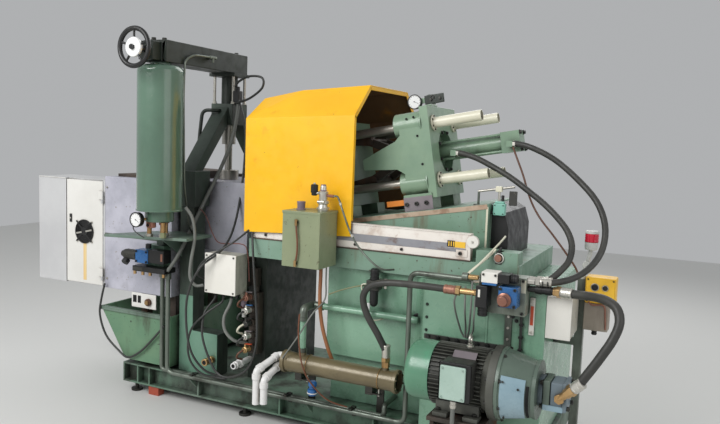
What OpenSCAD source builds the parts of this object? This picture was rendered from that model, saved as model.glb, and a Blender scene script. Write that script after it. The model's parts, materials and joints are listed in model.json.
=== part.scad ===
// Hot-chamber die casting machine with an inclined clamp, in millimetres.
// X runs along the machine from the furnace to the clamp cylinder, Y from the
// operator's side to the back, Z up. Lengths are measured from the centre line
// and from a datum near the middle; place() moves the whole to its own origin.

/* [Base frame] */
// Left end of the base frame
base_left = -1255; // [-1320:5:-1200]
// Right end of the base frame
base_right = 1320; // [1310:5:1400]
// Width of the base frame
base_w = 912; // [900:2:960]
// Height of the base channels
channel_h = 120; // [100:5:140]
// Width of the base channel flanges
flange_w = 60; // [45:5:75]
// Thickness of the base channel plates
channel_t = 10; // [6:1:14]
// Height of the levelling feet
foot_h = 55; // [45:1:70]
// Diameter of the levelling feet
foot_d = 70; // [50:5:90]
// Thickness of the deck plate
deck_t = 8; // [5:1:12]

/* [Furnace] */
// Left side of the furnace casing
casing_left = -1424; // [-1460:2:-1400]
// Right side of the wide part of the furnace casing
casing_mid = -900; // [-920:2:-890]
// Right side of the nozzle housing
casing_right = -497; // [-520:1:-460]
// Width of the furnace casing
casing_w = 880; // [860:2:900]
// Width of the nozzle housing
housing_w = 500; // [440:2:540]
// Height of the casing's underside above the floor
casing_z = 620; // [600:2:660]
// Height of the casing's top above the floor
casing_top = 1317; // [1280:1:1340]
// Underside of the nozzle housing
housing_z = 900; // [860:5:960]
// Left end of the drip pan's rim
pan_left = -1440; // [-1480:5:-1400]
// Left end of the drip pan's floor
pan_toe = -1241; // [-1280:1:-1220]
// Right end of the drip pan
pan_right = -890; // [-900:5:-880]
// Height of the drip pan's rim above the floor
pan_top = 506; // [460:2:560]
// Sheet thickness of the drip pan
pan_t = 6; // [4:1:10]
// Left side of the power cabinet
cabinet_left = -1996; // [-2060:2:-1900]
// Front split between the cabinet's fixed panel and its door
cabinet_split = -1751; // [-1780:1:-1700]
// Depth of the power cabinet
cabinet_depth = 270; // [200:5:340]
// Height of the cabinet's top above the floor
cabinet_top = 1290; // [1250:2:1310]
// Thickness of the cabinet's front panels
panel_t = 16; // [10:1:22]
// Gap around the cabinet door
door_gap = 5; // [5:0.5:8]

/* [Injection unit] */
// Height of the crossbeam's underside above the floor
beam_z = 1977; // [1960:1:2000]
// Height of the crossbeam
beam_h = 118; // [90:2:150]
// Width of the crossbeam
beam_w = 160; // [130:5:190]
// Front end of the crossbeam, in front of the centre line
beam_front = 690; // [650:5:740]
// Reach of the crossbeam behind the centre line
beam_back = 75; // [70:5:140]
// Diameter of the accumulator
accumulator_d = 250; // [220:5:280]
// Distance of the accumulator in front of the centre line
accumulator_y = 640; // [620:1:660]
// Underside of the accumulator's shell above the floor
accumulator_z = 1166; // [1130:2:1200]
// Diameter of the accumulator's neck
neck_d = 160; // [110:5:180]
// Top of the accumulator shelf above the floor
shelf_z = 1018; // [990:2:1040]
// Thickness of the accumulator shelf
shelf_t = 16; // [10:1:24]
// Diameter of the injection cylinder
injection_d = 100; // [80:5:120]
// Width of the injection columns
column_w = 100; // [80:5:120]
// Distance of the injection columns' outer faces from the centre line
column_y = 400; // [385:5:420]
// Depth of the injection columns
column_depth = 110; // [90:5:130]
// Outer diameter of the handwheel
wheel_d = 220; // [180:5:260]
// Diameter of the handwheel's rim bar
wheel_rim = 20; // [14:1:26]
// Distance of the handwheel's plane in front of the centre line
wheel_y = 845; // [820:1:846]
// Diameter of the handwheel's spindle
spindle_d = 30; // [20:1:40]

/* [Clamp unit] */
// Tilt of the clamp unit
clamp_tilt = 10; // [8:0.5:11]
// Datum of the clamp along X, the centre of the tail platen's back face
clamp_x = 626; // [600:1:640]
// Height of the tail platen's centre above the floor
clamp_z = 1553; // [1540:1:1570]
// Distance between the tie bars across the machine
tie_span_y = 330; // [310:2:350]
// Distance between the tie bars up and down
tie_span_z = 300; // [290:2:320]
// Diameter of the tie bars
tie_d = 48; // [40:1:54]
// Outer diameter of the tie bar cover tubes
cover_d = 56; // [50:1:64]
// Length of the tie bar cover tubes
cover_l = 268; // [200:2:320]
// Width of the platens
platen_w = 460; // [450:2:480]
// Distance from the tail platen's back face to the fixed platen's front face
platen_span = 990; // [970:2:1000]
// Thickness of the fixed platen
fixed_t = 90; // [70:5:100]
// Thickness of the moving platen
moving_t = 80; // [60:5:100]
// Distance from the tail platen's back face to the moving platen's front face
moving_at = 620; // [600:5:660]
// Thickness of the tail platen's back plate
tail_t = 46; // [36:2:56]
// Length of the tail platen's tie bar bosses
boss_l = 200; // [180:5:215]
// Diameter of the tail platen's tie bar bosses
boss_d = 136; // [120:2:144]
// Diameter of the opening in the tail platen
tail_bore_d = 228; // [200:2:236]
// Depth of the bed's slideway below the clamp's axis
way_drop = 300; // [296:1:306]
// Diameter of the closing cylinder
closing_d = 90; // [70:2:110]
// Length of the closing cylinder behind the tail platen
closing_l = 310; // [260:5:360]

/* [Bed and guard] */
// Left end of the bed
bed_left = -360; // [-362:1:-340]
// Right end of the bed
bed_right = 1155; // [1120:5:1200]
// Width of the bed's base
bed_w = 860; // [850:2:880]
// Height of the bed's underside above the floor
bed_z = 925; // [915:1:940]
// Height of the bed's base
bed_h = 105; // [90:1:115]
// Width of the bed's slideway casting
way_w = 600; // [560:5:640]
// Right end of the slideway casting
way_right = 960; // [940:5:1000]
// Height of the guard rails
rail_h = 135; // [100:1:150]
// Thickness of the guard rails
rail_t = 40; // [30:2:50]
// Right end of the guard rails
rail_right = 918; // [900:2:940]
// Left end of the guard
guard_left = -385; // [-395:1:-370]
// Right end of the guard
guard_right = 278; // [270:1:290]
// Width of the guard
guard_w = 894; // [890:1:910]
// Width of the guard's roof
roof_w = 526; // [480:2:560]
// Sheet thickness of the guard
guard_t = 4; // [2:0.5:6]

/* [Hydraulic tank and pump] */
// Left end of the hydraulic tank
tank_left = 130; // [120:2:150]
// Left end of the tank's deep part
tank_step = 700; // [690:2:720]
// Right end of the hydraulic tank
tank_right = 1300; // [1260:5:1310]
// Width of the hydraulic tank
tank_w = 792; // [780:2:820]
// How far the tank's deep part stands out at the front
tank_bulge = 60; // [50:1:64]
// Distance of the motor's axis in front of the centre line
motor_y = 640; // [636:1:660]
// Height of the motor's axis above the floor
motor_z = 532; // [520:1:545]
// Left end of the motor's fan cowl
motor_left = 728; // [715:1:740]
// Length of the motor's fan cowl
cowl_l = 122; // [100:2:140]
// Length of the motor's finned body
motor_l = 276; // [260:2:290]
// Diameter of the motor's body
motor_d = 290; // [280:2:296]
// Diameter of the motor's flange
flange_d = 336; // [320:2:350]
// Length of the bell housing
bell_l = 170; // [150:2:190]
// Length of the pump's body
pump_l = 104; // [90:2:140]
// Height of the motor's axis over its feet
shaft_h = 160; // [156:1:165]
// Diameter of the oil cooler
cooler_d = 104; // [90:2:120]
// Left end of the oil cooler
cooler_left = -20; // [-40:2:0]
// Right end of the oil cooler
cooler_right = 600; // [580:2:620]
// Distance of the oil cooler's axis in front of the centre line
cooler_y = 540; // [530:1:550]
// Height of the oil cooler's axis above the floor
cooler_z = 408; // [400:1:420]

/* [Boxes and fittings] */
// Width of the electrical box by the furnace
ebox_w = 210; // [180:2:230]
// Height of the electrical box by the furnace
ebox_h = 228; // [200:2:240]
// Depth of the electrical box by the furnace
ebox_depth = 120; // [90:5:140]
// Width of the lubrication tank
lube_w = 218; // [190:2:230]
// Height of the lubrication tank
lube_h = 288; // [250:2:300]
// Depth of the lubrication tank
lube_depth = 190; // [160:5:196]
// Width of the terminal box by the pump
tbox_w = 122; // [100:2:140]
// Height of the terminal box by the pump
tbox_h = 197; // [170:1:210]
// Diameter of the beacon lamp
beacon_d = 66; // [50:2:80]

/* [Hidden] */
$fn = 64;
eps = 0.3;
base_y = base_w / 2;
base_top = foot_h + channel_h;
foot_y = base_y - foot_d / 2 - 2;
foot_plate_t = 14;
foot_stud_d = 24;
casing_y = casing_w / 2;
housing_y = housing_w / 2;
pan_z = base_top + 24;
foot_gap = 0.1;
deck_y = base_y - flange_w;
inj_x = -820;
beam_top = beam_z + beam_h;
beam_mid = beam_z + beam_h / 2;
shelf_left = inj_x - 296;
shelf_right = inj_x + 180;
shelf_front = accumulator_y + 117;
head_z = 1660;
head_top = 1790;
head_w = 160;
head_y = 80;
shoulder_z = 1170;
shoulder_top = 1380;
arm_t = 60;
hinge_x = casing_left - 12;
hinge_y = -casing_y - 12;
hinge_r = 8;
hinge_pin_d = 6;
pin_fit = 0.05;
knuckle_h = 50;
lug_h = 24;
door_left = cabinet_split + door_gap / 2 + 2;
door_right = hinge_x - 2 - door_gap;
door_z = casing_z + 8;
door_top = cabinet_top - 8;
hinge_zs = [door_z + 60, door_top - 60 - knuckle_h];
neck_z = accumulator_z - 62;
valve_z = 782;
valve_plate_t = 31;
standoff_d = 30;
boss_r = boss_d / 2;
tie_y = tie_span_y / 2;
tie_z = tie_span_z / 2;
platen_y = platen_w / 2;
platen_top = 240;
tie_nut_d = 84;
tie_nut_l = 45;
bed_y = bed_w / 2;
bed_top = bed_z + bed_h;
way_y = way_w / 2;
guard_y = guard_w / 2;
roof_y = roof_w / 2;
rail_top = bed_top + rail_h;
roller_d = 34;
pedestal_t = 120;
pedestal_left = -440;
pedestal_y = 300;
tank_y = tank_w / 2;
tank_front = -tank_y - tank_bulge;
tank_top = bed_z;
tank_toe = 440;
body_left = motor_left + cowl_l;
body_right = body_left + motor_l;
flange_l = 34;
bell_left = body_right + flange_l;
bell_right = bell_left + bell_l;
pump_left = bell_right + 20;
pump_right = pump_left + pump_l;
foot_span = 254;
foot_z = motor_z - shaft_h;
stand_left = 860;
stand_right = 1122;
block_left = 1000;
block_right = 1220;
block_z = 820;
block_top = 1000;
block_front = -540;
ebox_left = -595;
ebox_z = 707;
tbox_left = 1292;
tbox_z = 717;
tbox_depth = 220;
lube_left = -15;
lube_z = 940;
lube_back = -454;
end_y = 235;
post_x = tank_right + 97;
post_w = 40;
button_w = 140;
button_y = -200;
button_z = 862;

// Routes of the hoses, from one fitting to the other
front_route = [[714, -90, 1546], [742, -90, 1546], [825, -103, 1526], [915, -130, 1490], [1025, -160, 1438],
    [1130, -198, 1376], [1215, -235, 1322], [1285, -270, 1268], [1345, -305, 1208], [1378, -345, 1145],
    [1378, -395, 1080], [1350, -436, 1035], [1315, -464, 998], [1284, -476, 985], [1254, -476, 985]];
rear_route = [[1012, -85, 1606], [1042, -85, 1606], [1110, -92, 1591], [1230, -115, 1537],
    [1350, -155, 1450], [1455, -205, 1350], [1508, -255, 1245], [1512, -310, 1140], [1475, -375, 1060],
    [1410, -440, 1008],
    [1338, -500, 989], [1286, -515, 985], [1254, -515, 985]];
pump_route = [[1466, -718, 572], [1494, -724, 600], [1534, -724, 662], [1580, -715, 740], [1620, -700, 815],
    [1640, -680, 885], [1622, -650, 938], [1570, -610, 960], [1500, -560, 958], [1430, -520, 950],
    [1378, -500, 948], [1350, -500, 948]];
cooler_route = [[930, -600, 918], [902, -600, 918], [780, -612, 922], [660, -620, 922], [560, -622, 915],
    [480, -620, 890], [442, -612, 840], [442, -600, 780], [465, -585, 715], [505, -565, 640],
    [540, -544, 560], [545, -540, 528], [545, -540, 500]];
mid_x = (cabinet_left + post_x + post_w + button_w) / 2;
mid_y = (base_y - motor_y - 230) / 2;

// Height of the slideway's top at a place along the machine
function way_at(x) = clamp_z + ((x - clamp_x) * sin(clamp_tilt) - way_drop) / cos(clamp_tilt);

// Basic shapes by their two corners, or by their ends
module place() { translate([-mid_x, -mid_y, 0]) children(); }
module span(lo, hi) { translate(lo) cube(hi - lo); }
module pair() {
    children();
    mirror([0, 1, 0]) children();
}
module prism_x(x0, x1) { translate([x0, 0, 0]) rotate([90, 0, 90]) linear_extrude(x1 - x0) children(); }
module prism_y(y0, y1) { translate([0, y1, 0]) rotate([90, 0, 0]) linear_extrude(y1 - y0) children(); }
module bar_x(x0, x1, y, z, d) { translate([x0, y, z]) rotate([0, 90, 0]) cylinder(h = x1 - x0, d = d); }
module bar_y(x, y0, y1, z, d) { translate([x, y1, z]) rotate([90, 0, 0]) cylinder(h = y1 - y0, d = d); }
module bar_z(x, y, z0, z1, d) { translate([x, y, z0]) cylinder(h = z1 - z0, d = d); }
module rod(p, q, d) {
    v = q - p;
    translate(p) rotate([0, acos(v[2] / norm(v)), atan2(v[1], v[0])]) cylinder(h = norm(v), d = d);
}
// A bent pipe: straight runs joined by round bends
function turn_of(a, b, c) = acos(min(1, unit(b - a) * unit(c - b)));
function reach_of(a, b, c, r) = r * tan(turn_of(a, b, c) / 2);
module elbow(a, b, c, d, r) {
    u = unit(b - a);
    n = unit(cross(u, c - b));
    inward = cross(n, u);
    ax = -inward;
    translate(b - u * reach_of(a, b, c, r) + inward * r)
        rotate([atan2(u[2], n[2]), -asin(ax[2]), atan2(ax[1], ax[0])])
            rotate_extrude(angle = turn_of(a, b, c)) translate([r, 0]) circle(d = d);
}
module pipe(p, d, r) {
    last = len(p) - 1;
    for (i = [0 : last - 1]) {
        u = unit(p[i + 1] - p[i]);
        from = i == 0 ? 0 : reach_of(p[i - 1], p[i], p[i + 1], r);
        upto = i == last - 1 ? 0 : reach_of(p[i], p[i + 1], p[i + 2], r);
        rod(p[i] + u * from, p[i + 1] - u * upto, d);
    }
    for (i = [1 : 1 : last - 1]) elbow(p[i - 1], p[i], p[i + 1], d, r);
}
module on_clamp() { translate([clamp_x, 0, clamp_z]) rotate([0, -clamp_tilt, 0]) children(); }

// A tube along a route, one closed skin with a ring at each point
function unit(v) = v / norm(v);
function heading(p, i) = unit(p[min(i + 1, len(p) - 1)] - p[max(i - 1, 0)]);
function side_of(t) = unit(cross(t, abs(t[2]) < 0.9 ? [0, 0, 1] : [0, 1, 0]));
function carried(p, i) = i == 0 ? side_of(heading(p, 0)) :
    let (t = heading(p, i), s = carried(p, i - 1)) unit(s - t * (s * t));
function bend_points(a, b, c, r) =
    let (u = unit(b - a), n = unit(cross(u, c - b)), inward = cross(n, u), turn = turn_of(a, b, c))
        [for (k = [0 : 5]) b - u * reach_of(a, b, c, r)
            + r * (inward * (1 - cos(turn * k / 5)) + u * sin(turn * k / 5))];
function rounded(p, r) = concat([p[0]],
    [for (i = [1 : len(p) - 2]) each bend_points(p[i - 1], p[i], p[i + 1], r)], [p[len(p) - 1]]);
module tube(p, d, sides = 10) {
    last = len(p) - 1;
    rings = [for (i = [0 : last]) let (t = heading(p, i), s = carried(p, i), u = cross(t, s))
        for (k = [0 : sides - 1]) p[i] + d / 2 * (cos(360 * k / sides) * s + sin(360 * k / sides) * u)];
    walls = [for (i = [0 : last - 1], k = [0 : sides - 1]) let (n = (k + 1) % sides, a = i * sides)
        [a + k, a + sides + k, a + sides + n, a + n]];
    polyhedron(rings, concat(walls, [[for (k = [0 : sides - 1]) k],
        [for (k = [sides - 1 : -1 : 0]) last * sides + k]]));
}

module channel_profile() {
    polygon([[-base_y, foot_h], [-deck_y, foot_h], [-deck_y, base_top], [-base_y, base_top],
        [-base_y, base_top - channel_t], [-deck_y - channel_t, base_top - channel_t],
        [-deck_y - channel_t, foot_h + channel_t], [-base_y, foot_h + channel_t]]);
}
module base_frame() place() color("darkseagreen") {
    pair() prism_x(base_left, base_right) channel_profile();
    span([base_left, -deck_y, base_top - deck_t], [base_right, deck_y, base_top]);
    for (x = [base_left : (base_right - base_left - flange_w) / 5 : base_right])
        span([x, -deck_y, foot_h], [x + flange_w, deck_y, base_top - deck_t]);
    for (x = [base_left, base_left + 110, base_left + 200, base_left + 570, base_left + 1130,
            base_left + 1700, base_left + 2200])
        pair() span([x, -base_y, foot_h + channel_t],
            [x + channel_t, -deck_y - channel_t, base_top - channel_t]);
    for (x = [base_left + 560, base_left + 1340])
        prism_x(x, x + 8)
            polygon([[-base_y - 62, base_top], [-base_y, base_top], [-base_y, base_top - 60]]);
}
module levelling_feet() place() color("dimgray") {
    for (x = [base_left + 80 : (base_right - base_left - 160) / 3 : base_right - 79]) pair() {
        bar_z(x, -foot_y, 0, foot_plate_t, foot_d);
        bar_z(x, -foot_y, foot_plate_t, foot_h, foot_stud_d);
    }
}
module packing_block() place() color("tomato")
    span([base_left + 195, -base_y + 8, 0], [base_left + 272, -deck_y, foot_h]);
module drip_pan() place() color("darkseagreen") {
    difference() {
        prism_y(-base_y, base_y)
            polygon([[pan_left, pan_top], [pan_toe, pan_z], [pan_right, pan_z], [pan_right, pan_top]]);
        prism_y(-base_y + pan_t, base_y - pan_t)
            polygon([[pan_left + 2 * pan_t, pan_top + 1], [pan_toe + pan_t, pan_z + pan_t],
                [pan_right - pan_t, pan_z + pan_t], [pan_right - pan_t, pan_top + 1]]);
    }
    pair() span([pan_toe + 20, -320, base_top], [pan_right - 20, -280, pan_z]);
}
module furnace_legs() place() color("dimgray") {
    for (x = [pan_toe + 40, pan_right - 90]) pair()
        span([x, -360, pan_z + pan_t], [x + 50, -310, casing_z]);
}
module furnace_casing() place() color("lightsteelblue") {
    span([casing_left, -casing_y, casing_z], [casing_mid, casing_y, casing_top]);
    span([casing_mid, -housing_y, housing_z], [casing_right, housing_y, casing_top]);
}
module furnace_cover() place() color("dimgray") {
    span([casing_left + 50, -casing_y + 60, casing_top], [casing_mid - 40, casing_y - 60, casing_top + 18]);
    bar_z((casing_left + casing_mid) / 2, 0, casing_top + 18, casing_top + 48, 460);
    bar_z((casing_left + casing_mid) / 2, 0, casing_top + 48, casing_top + 78, 60);
}
module power_cabinet() place() color("whitesmoke") {
    recess_y = -casing_y + panel_t + door_gap;
    span([cabinet_left, recess_y, casing_z], [casing_left, -casing_y + cabinet_depth, cabinet_top]);
    span([cabinet_left, -casing_y, casing_z], [cabinet_split - door_gap / 2, recess_y, cabinet_top]);
    span([hinge_x - 2, -casing_y, casing_z], [casing_left, recess_y, cabinet_top]);
    for (z = hinge_zs) {
        bar_z(hinge_x, hinge_y, z - lug_h - 0.5, z - 0.5, 2 * hinge_r);
        bar_z(hinge_x, hinge_y, z - 0.5, z + knuckle_h, hinge_pin_d);
        span([hinge_x + 2, hinge_y, z - lug_h - 0.5], [hinge_x + hinge_r, -casing_y, z - 0.5]);
    }
}
module cabinet_door() place() color("white") {
    difference() {
        union() {
            span([door_left, -casing_y, door_z], [door_right, -casing_y + panel_t, door_top]);
            for (z = hinge_zs) {
                bar_z(hinge_x, hinge_y, z, z + knuckle_h, 2 * hinge_r);
                span([door_right - 30, hinge_y, z], [hinge_x - 4, -casing_y, z + knuckle_h]);
            }
        }
        for (z = hinge_zs) bar_z(hinge_x, hinge_y, z - 1, z + knuckle_h + 1, hinge_pin_d + 2 * pin_fit);
    }
}
module nozzle() place() color("dimgray") {
    span([casing_right - 100, -60, casing_top], [casing_right - 20, 60, casing_top + 95]);
    seat = [casing_right - 60, 0, casing_top + 34];
    nozzle_d = 54;
    platen_back = [clamp_x - platen_span * cos(clamp_tilt), 0, clamp_z - platen_span * sin(clamp_tilt)];
    lead = unit(platen_back - seat);
    slant = acos(lead * [cos(clamp_tilt), 0, sin(clamp_tilt)]);
    rod(seat, platen_back - (nozzle_d / 2 * tan(slant) + eps) * lead, nozzle_d);
}
module accumulator_shelf() place() color("seagreen") {
    translate([0, 0, shelf_z - shelf_t]) linear_extrude(shelf_t)
        polygon([[shelf_left, -shelf_front], [shelf_right, -shelf_front + 132], [shelf_right, -column_y],
            [casing_mid, -column_y], [casing_mid, -casing_y], [shelf_left + 146, -casing_y]]);
    span([casing_mid - 60, -casing_y - 60, shelf_z - shelf_t - 60],
        [casing_mid - 10, -casing_y, shelf_z - shelf_t]);
    prism_x(inj_x - 40, inj_x - 32)
        polygon([[-column_y, shelf_z - shelf_t], [-shelf_front + 160, shelf_z - shelf_t],
            [-column_y, shelf_z - 150]]);
}
module accumulator() place() color("seagreen") {
    dome_h = 36;
    bar_z(inj_x, -accumulator_y, accumulator_z, beam_z - 12 - dome_h, accumulator_d);
    bar_z(inj_x, -accumulator_y, accumulator_z - 2, accumulator_z + 8, accumulator_d + 8);
    translate([inj_x, -accumulator_y, beam_z - 12 - dome_h])
        cylinder(h = dome_h, d1 = accumulator_d, d2 = accumulator_d * 0.62);
    bar_z(inj_x, -accumulator_y, beam_z - 12, beam_z, 110);
    bar_z(inj_x, -accumulator_y, neck_z, accumulator_z, neck_d);
    for (a = [90 : 120 : 330]) translate([inj_x, -accumulator_y, shelf_z])
        rotate([0, 0, a]) translate([neck_d * 0.36, 0, 0]) cylinder(h = neck_z - shelf_z, d = standoff_d);
}
module crossbeam() place() color("darkslategray") {
    difference() {
        union() {
            span([inj_x - beam_w / 2, -beam_front, beam_z], [inj_x + beam_w / 2, beam_back, beam_top]);
            span([inj_x - 50, -beam_front - 70, beam_z + 6], [inj_x + 50, -beam_front, beam_top - 14]);
        }
        bar_y(inj_x, -beam_front - 71, -beam_front + 30, beam_mid, spindle_d + 2 * pin_fit);
    }
}
module handwheel() place() color("black") {
    hub_d = 104;
    bar_y(inj_x, -wheel_y - 24, -beam_front + 20, beam_mid, spindle_d);
    bar_y(inj_x, -wheel_y - 12, -wheel_y + 12, beam_mid, hub_d);
    translate([inj_x, -wheel_y, beam_mid]) rotate([90, 0, 0])
        rotate_extrude() translate([(wheel_d - wheel_rim) / 2, 0]) circle(d = wheel_rim);
    for (a = [0 : 72 : 359]) translate([inj_x, -wheel_y, beam_mid]) rotate([0, a, 0])
        rod([hub_d / 2 - 6, 0, 0], [(wheel_d - wheel_rim) / 2, 0, 0], 12);
}
module injection_cylinder() place() color("darkslategray") {
    plate_t = 20;
    span([inj_x - 95, -85, beam_z - plate_t], [inj_x + 95, beam_back, beam_z]);
    bar_z(inj_x, 0, head_top, beam_z - plate_t, injection_d);
    for (x = [-70, 70], y = [-60, 60]) bar_z(inj_x + x, y, head_top, beam_z - plate_t, 16);
}
module injection_head() place() color("darkslategray")
    span([inj_x - head_w / 2, -head_y, head_z], [inj_x + head_w / 2, head_y, head_top]);
module column() {
    span([inj_x - column_w / 2, -column_y, base_top],
        [inj_x + column_w / 2, -column_y + column_depth, shoulder_z]);
    span([inj_x - column_w / 2 - 15, -column_y - 10, shoulder_z],
        [inj_x + column_w / 2 + 15, -column_y + column_depth + 20, shoulder_top]);
    prism_x(inj_x - column_w / 2, inj_x + column_w / 2)
        polygon([[-column_y, shoulder_top], [-head_y, head_top - 20], [-head_y, head_z],
            [-column_y + arm_t + 20, shoulder_top]]);
}
module front_column() place() color("darkslategray") {
    column();
    span([inj_x - column_w / 2, -column_y, base_top], [-590, -column_y + column_depth, 430]);
}
module rear_column() place() color("darkslategray") mirror([0, 1, 0]) column();
module plunger_rod() place() color("silver") {
    bar_z(inj_x, 0, casing_top, casing_top + 60, 130);
    bar_z(inj_x, 0, casing_top + 60, head_z, 46);
    bar_z(inj_x, 0, head_z - 120, head_z, 84);
}
module furnace_valves() place() color("royalblue") {
    valve_y = -casing_y - 60;
    body_z = valve_z + valve_plate_t;
    span([casing_mid - 140, valve_y, body_z], [casing_mid - 5, -casing_y, body_z + 124]);
    span([casing_mid - 160, valve_y - 70, body_z + 22], [casing_mid - 60, valve_y, body_z + 100]);
    bar_x(casing_mid - 285, casing_mid - 160, valve_y - 35, body_z + 60, 62);
    span([casing_mid - 60, valve_y - 68, body_z + 30], [casing_mid + 50, valve_y - 2, body_z + 106]);
    span([casing_mid - 190, valve_y - 60, valve_z], [casing_mid + 50, valve_y + 40, body_z]);
}
module electrical_boxes() place() color("whitesmoke") {
    box_front = -520;
    span([ebox_left, box_front, ebox_z], [ebox_left + ebox_w, box_front + ebox_depth, ebox_z + ebox_h]);
    for (z = [ebox_z + 30, ebox_z + ebox_h - 60])
        span([pedestal_left + 5, box_front + ebox_depth, z], [pedestal_left + 40, -pedestal_y, z + 30]);
    span([tank_right, tank_front, tbox_z],
        [tank_right + tbox_w - 8, tank_front + tbox_depth, tbox_z + tbox_h]);
}
module water_manifold() place() color("gray") {
    manifold_x = pedestal_left + 70;
    span([manifold_x - 30, -pedestal_y - 50, 342], [manifold_x + 30, -pedestal_y, 700]);
    for (z = [385 : 75 : 690]) {
        bar_y(manifold_x, -pedestal_y - 80, -pedestal_y - 50, z, 34);
        bar_y(manifold_x, -pedestal_y - 92, -pedestal_y - 80, z, 50);
    }
    bar_z(manifold_x, -pedestal_y - 25, 700, 740, 30);
    span([manifold_x - 30, -pedestal_y - 45, 740], [manifold_x + 15, -pedestal_y - 5, 840]);
}
module bed() place() color("darkseagreen") {
    span([bed_left, -bed_y, bed_z], [bed_right, bed_y, bed_top]);
    prism_y(-way_y, way_y)
        polygon([[bed_left, bed_top], [way_right, bed_top], [way_right, way_at(way_right)],
            [bed_left, way_at(bed_left)]]);
    prism_y(-end_y, end_y)
        polygon([[way_right, bed_top], [way_right + 90, bed_top], [way_right + 90, bed_top + 150],
            [way_right + 66, bed_top + 230], [way_right, bed_top + 270]]);
    span([rail_right + 28, -bed_y, bed_top], [bed_right - 4, -bed_y + 100, bed_top + 62]);
}
module bed_pedestal() place() color("darkslategray")
    span([pedestal_left, -pedestal_y, base_top], [pedestal_left + pedestal_t, pedestal_y, bed_z]);
module guard_rails() place() color("antiquewhite") {
    pair() span([bed_left + 15, -bed_y, bed_top], [rail_right, -bed_y + rail_t, rail_top]);
    pair() bar_y(rail_right + 12, -bed_y - 8, -bed_y, rail_top - 37, 62);
}
function guard_ring(x, side, mid, top, t) = [[x, -guard_y + t, side], [x, -guard_y + t, mid],
    [x, -roof_y + t, top - t], [x, roof_y - t, top - t], [x, guard_y - t, mid], [x, guard_y - t, side]];
module guard_solid(t, over) {
    mid_at = guard_left + 0.375 * (guard_right - guard_left);
    rings = concat(guard_ring(guard_left - over, 1066 - over, 1693, 1813, t),
        guard_ring(mid_at, 1078 - over, 1704, 1860, t),
        guard_ring(guard_right + over, 1096 - over, 1721, 1889, t));
    walls = [for (i = [0, 1], k = [0 : 5]) let (n = (k + 1) % 6)
        for (f = [[i * 6 + k, i * 6 + n, i * 6 + 6 + n], [i * 6 + k, i * 6 + 6 + n, i * 6 + 6 + k]]) f];
    polyhedron(rings, concat(walls, [[5, 4, 3, 2, 1, 0], [12, 13, 14, 15, 16, 17]]));
}
module guard_hood() place() color("orange")
    difference() {
        guard_solid(0, 0);
        guard_solid(guard_t, 1);
    }
module guard_rollers() place() color("dimgray") {
    roller_z = rail_top + eps + roller_d / 2;
    for (x = [guard_left + 100, guard_right - 60]) pair() {
        bar_y(x, -bed_y + 5, -bed_y + rail_t - 5, roller_z, roller_d);
        bar_y(x, -guard_y + guard_t, -bed_y + 5, roller_z, 14);
    }
}
module tie_holes(x0, x1) {
    for (y = [-tie_y, tie_y], z = [-tie_z, tie_z]) bar_x(x0, x1, y, z, tie_d + 2 * eps);
}
module fixed_platen() place() color("darkseagreen") on_clamp()
    difference() {
        span([-platen_span, -platen_y, -way_drop + foot_gap],
            [-platen_span + fixed_t, platen_y, platen_top]);
        tie_holes(-platen_span - 1, -platen_span + fixed_t + 1);
    }
module moving_platen() place() color("darkseagreen") on_clamp()
    difference() {
        union() {
            span([-moving_at, -platen_y, -platen_top], [-moving_at + moving_t, platen_y, platen_top]);
            pair() span([-moving_at - 20, -platen_y + 10, -way_drop + foot_gap],
                [-moving_at + moving_t + 40, -110, -platen_top]);
        }
        tie_holes(-moving_at - 1, -moving_at + moving_t + 1);
    }
module tail_platen() place() color("darkseagreen") on_clamp()
    difference() {
        union() {
            span([-tail_t, -platen_y, -platen_top], [0, platen_y, platen_top]);
            for (y = [-tie_y, tie_y], z = [-tie_z - 5, tie_z + 5]) bar_x(-boss_l, -tail_t, y, z, boss_d);
            pair() prism_y(-platen_y, -platen_y + 50)
                polygon([[-tail_t, tie_z], [-boss_l + 30, tie_z], [-boss_l + 30, 105], [-boss_l, 78],
                    [-2 * boss_l, 5], [-2 * boss_l, -52], [-boss_l - 5, -72], [-boss_l + 35, -100],
                    [-boss_l + 35, -tie_z], [-tail_t, -tie_z]]);
            pair() span([-boss_l + 15, -platen_y - 6, -way_drop + foot_gap],
                [-27, -110, -tie_z - boss_r + 5]);
        }
        bar_x(-tail_t - 1, 1, 0, 0, tail_bore_d);
        tie_holes(-boss_l - 1, 1);
    }
module tie_bars() place() color("silver") on_clamp()
    for (y = [-tie_y, tie_y], z = [-tie_z, tie_z]) {
        bar_x(-platen_span - tie_nut_l - 15, cover_l - 80, y, z, tie_d);
        bar_x(-platen_span - tie_nut_l, -platen_span, y, z, tie_nut_d);
    }
module tie_bar_covers() place() color("antiquewhite") on_clamp()
    difference() {
        for (y = [-tie_y, tie_y], z = [-tie_z, tie_z]) {
            bar_x(0, cover_l, y, z, cover_d);
            bar_x(0, 10, y, z, tie_nut_d);
        }
        for (y = [-tie_y, tie_y], z = [-tie_z, tie_z]) bar_x(-1, cover_l + 1, y, z, tie_d + 2 * eps);
    }
module link(p, q, w) { polygon([p + [0, w / 2], q + [0, w / 2], q - [0, w / 2], p - [0, w / 2]]); }
module toggle_links() place() color("slategray") on_clamp() {
    crosshead_x = -moving_at + moving_t + 190;
    for (s = [-1, 1]) {
        pair() prism_y(-125, -80) {
            link([-moving_at + moving_t, s * 130], [crosshead_x - 30, s * 105], 50);
            link([crosshead_x - 50, s * 105], [crosshead_x + 130, s * 20], 46);
        }
        bar_y(crosshead_x - 40, -135, 135, s * 105, 36);
    }
    span([crosshead_x + 100, -125, -40], [crosshead_x + 160, 125, 40]);
    bar_x(crosshead_x + 160, -tail_t - 20, 0, 0, 40);
}
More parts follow.
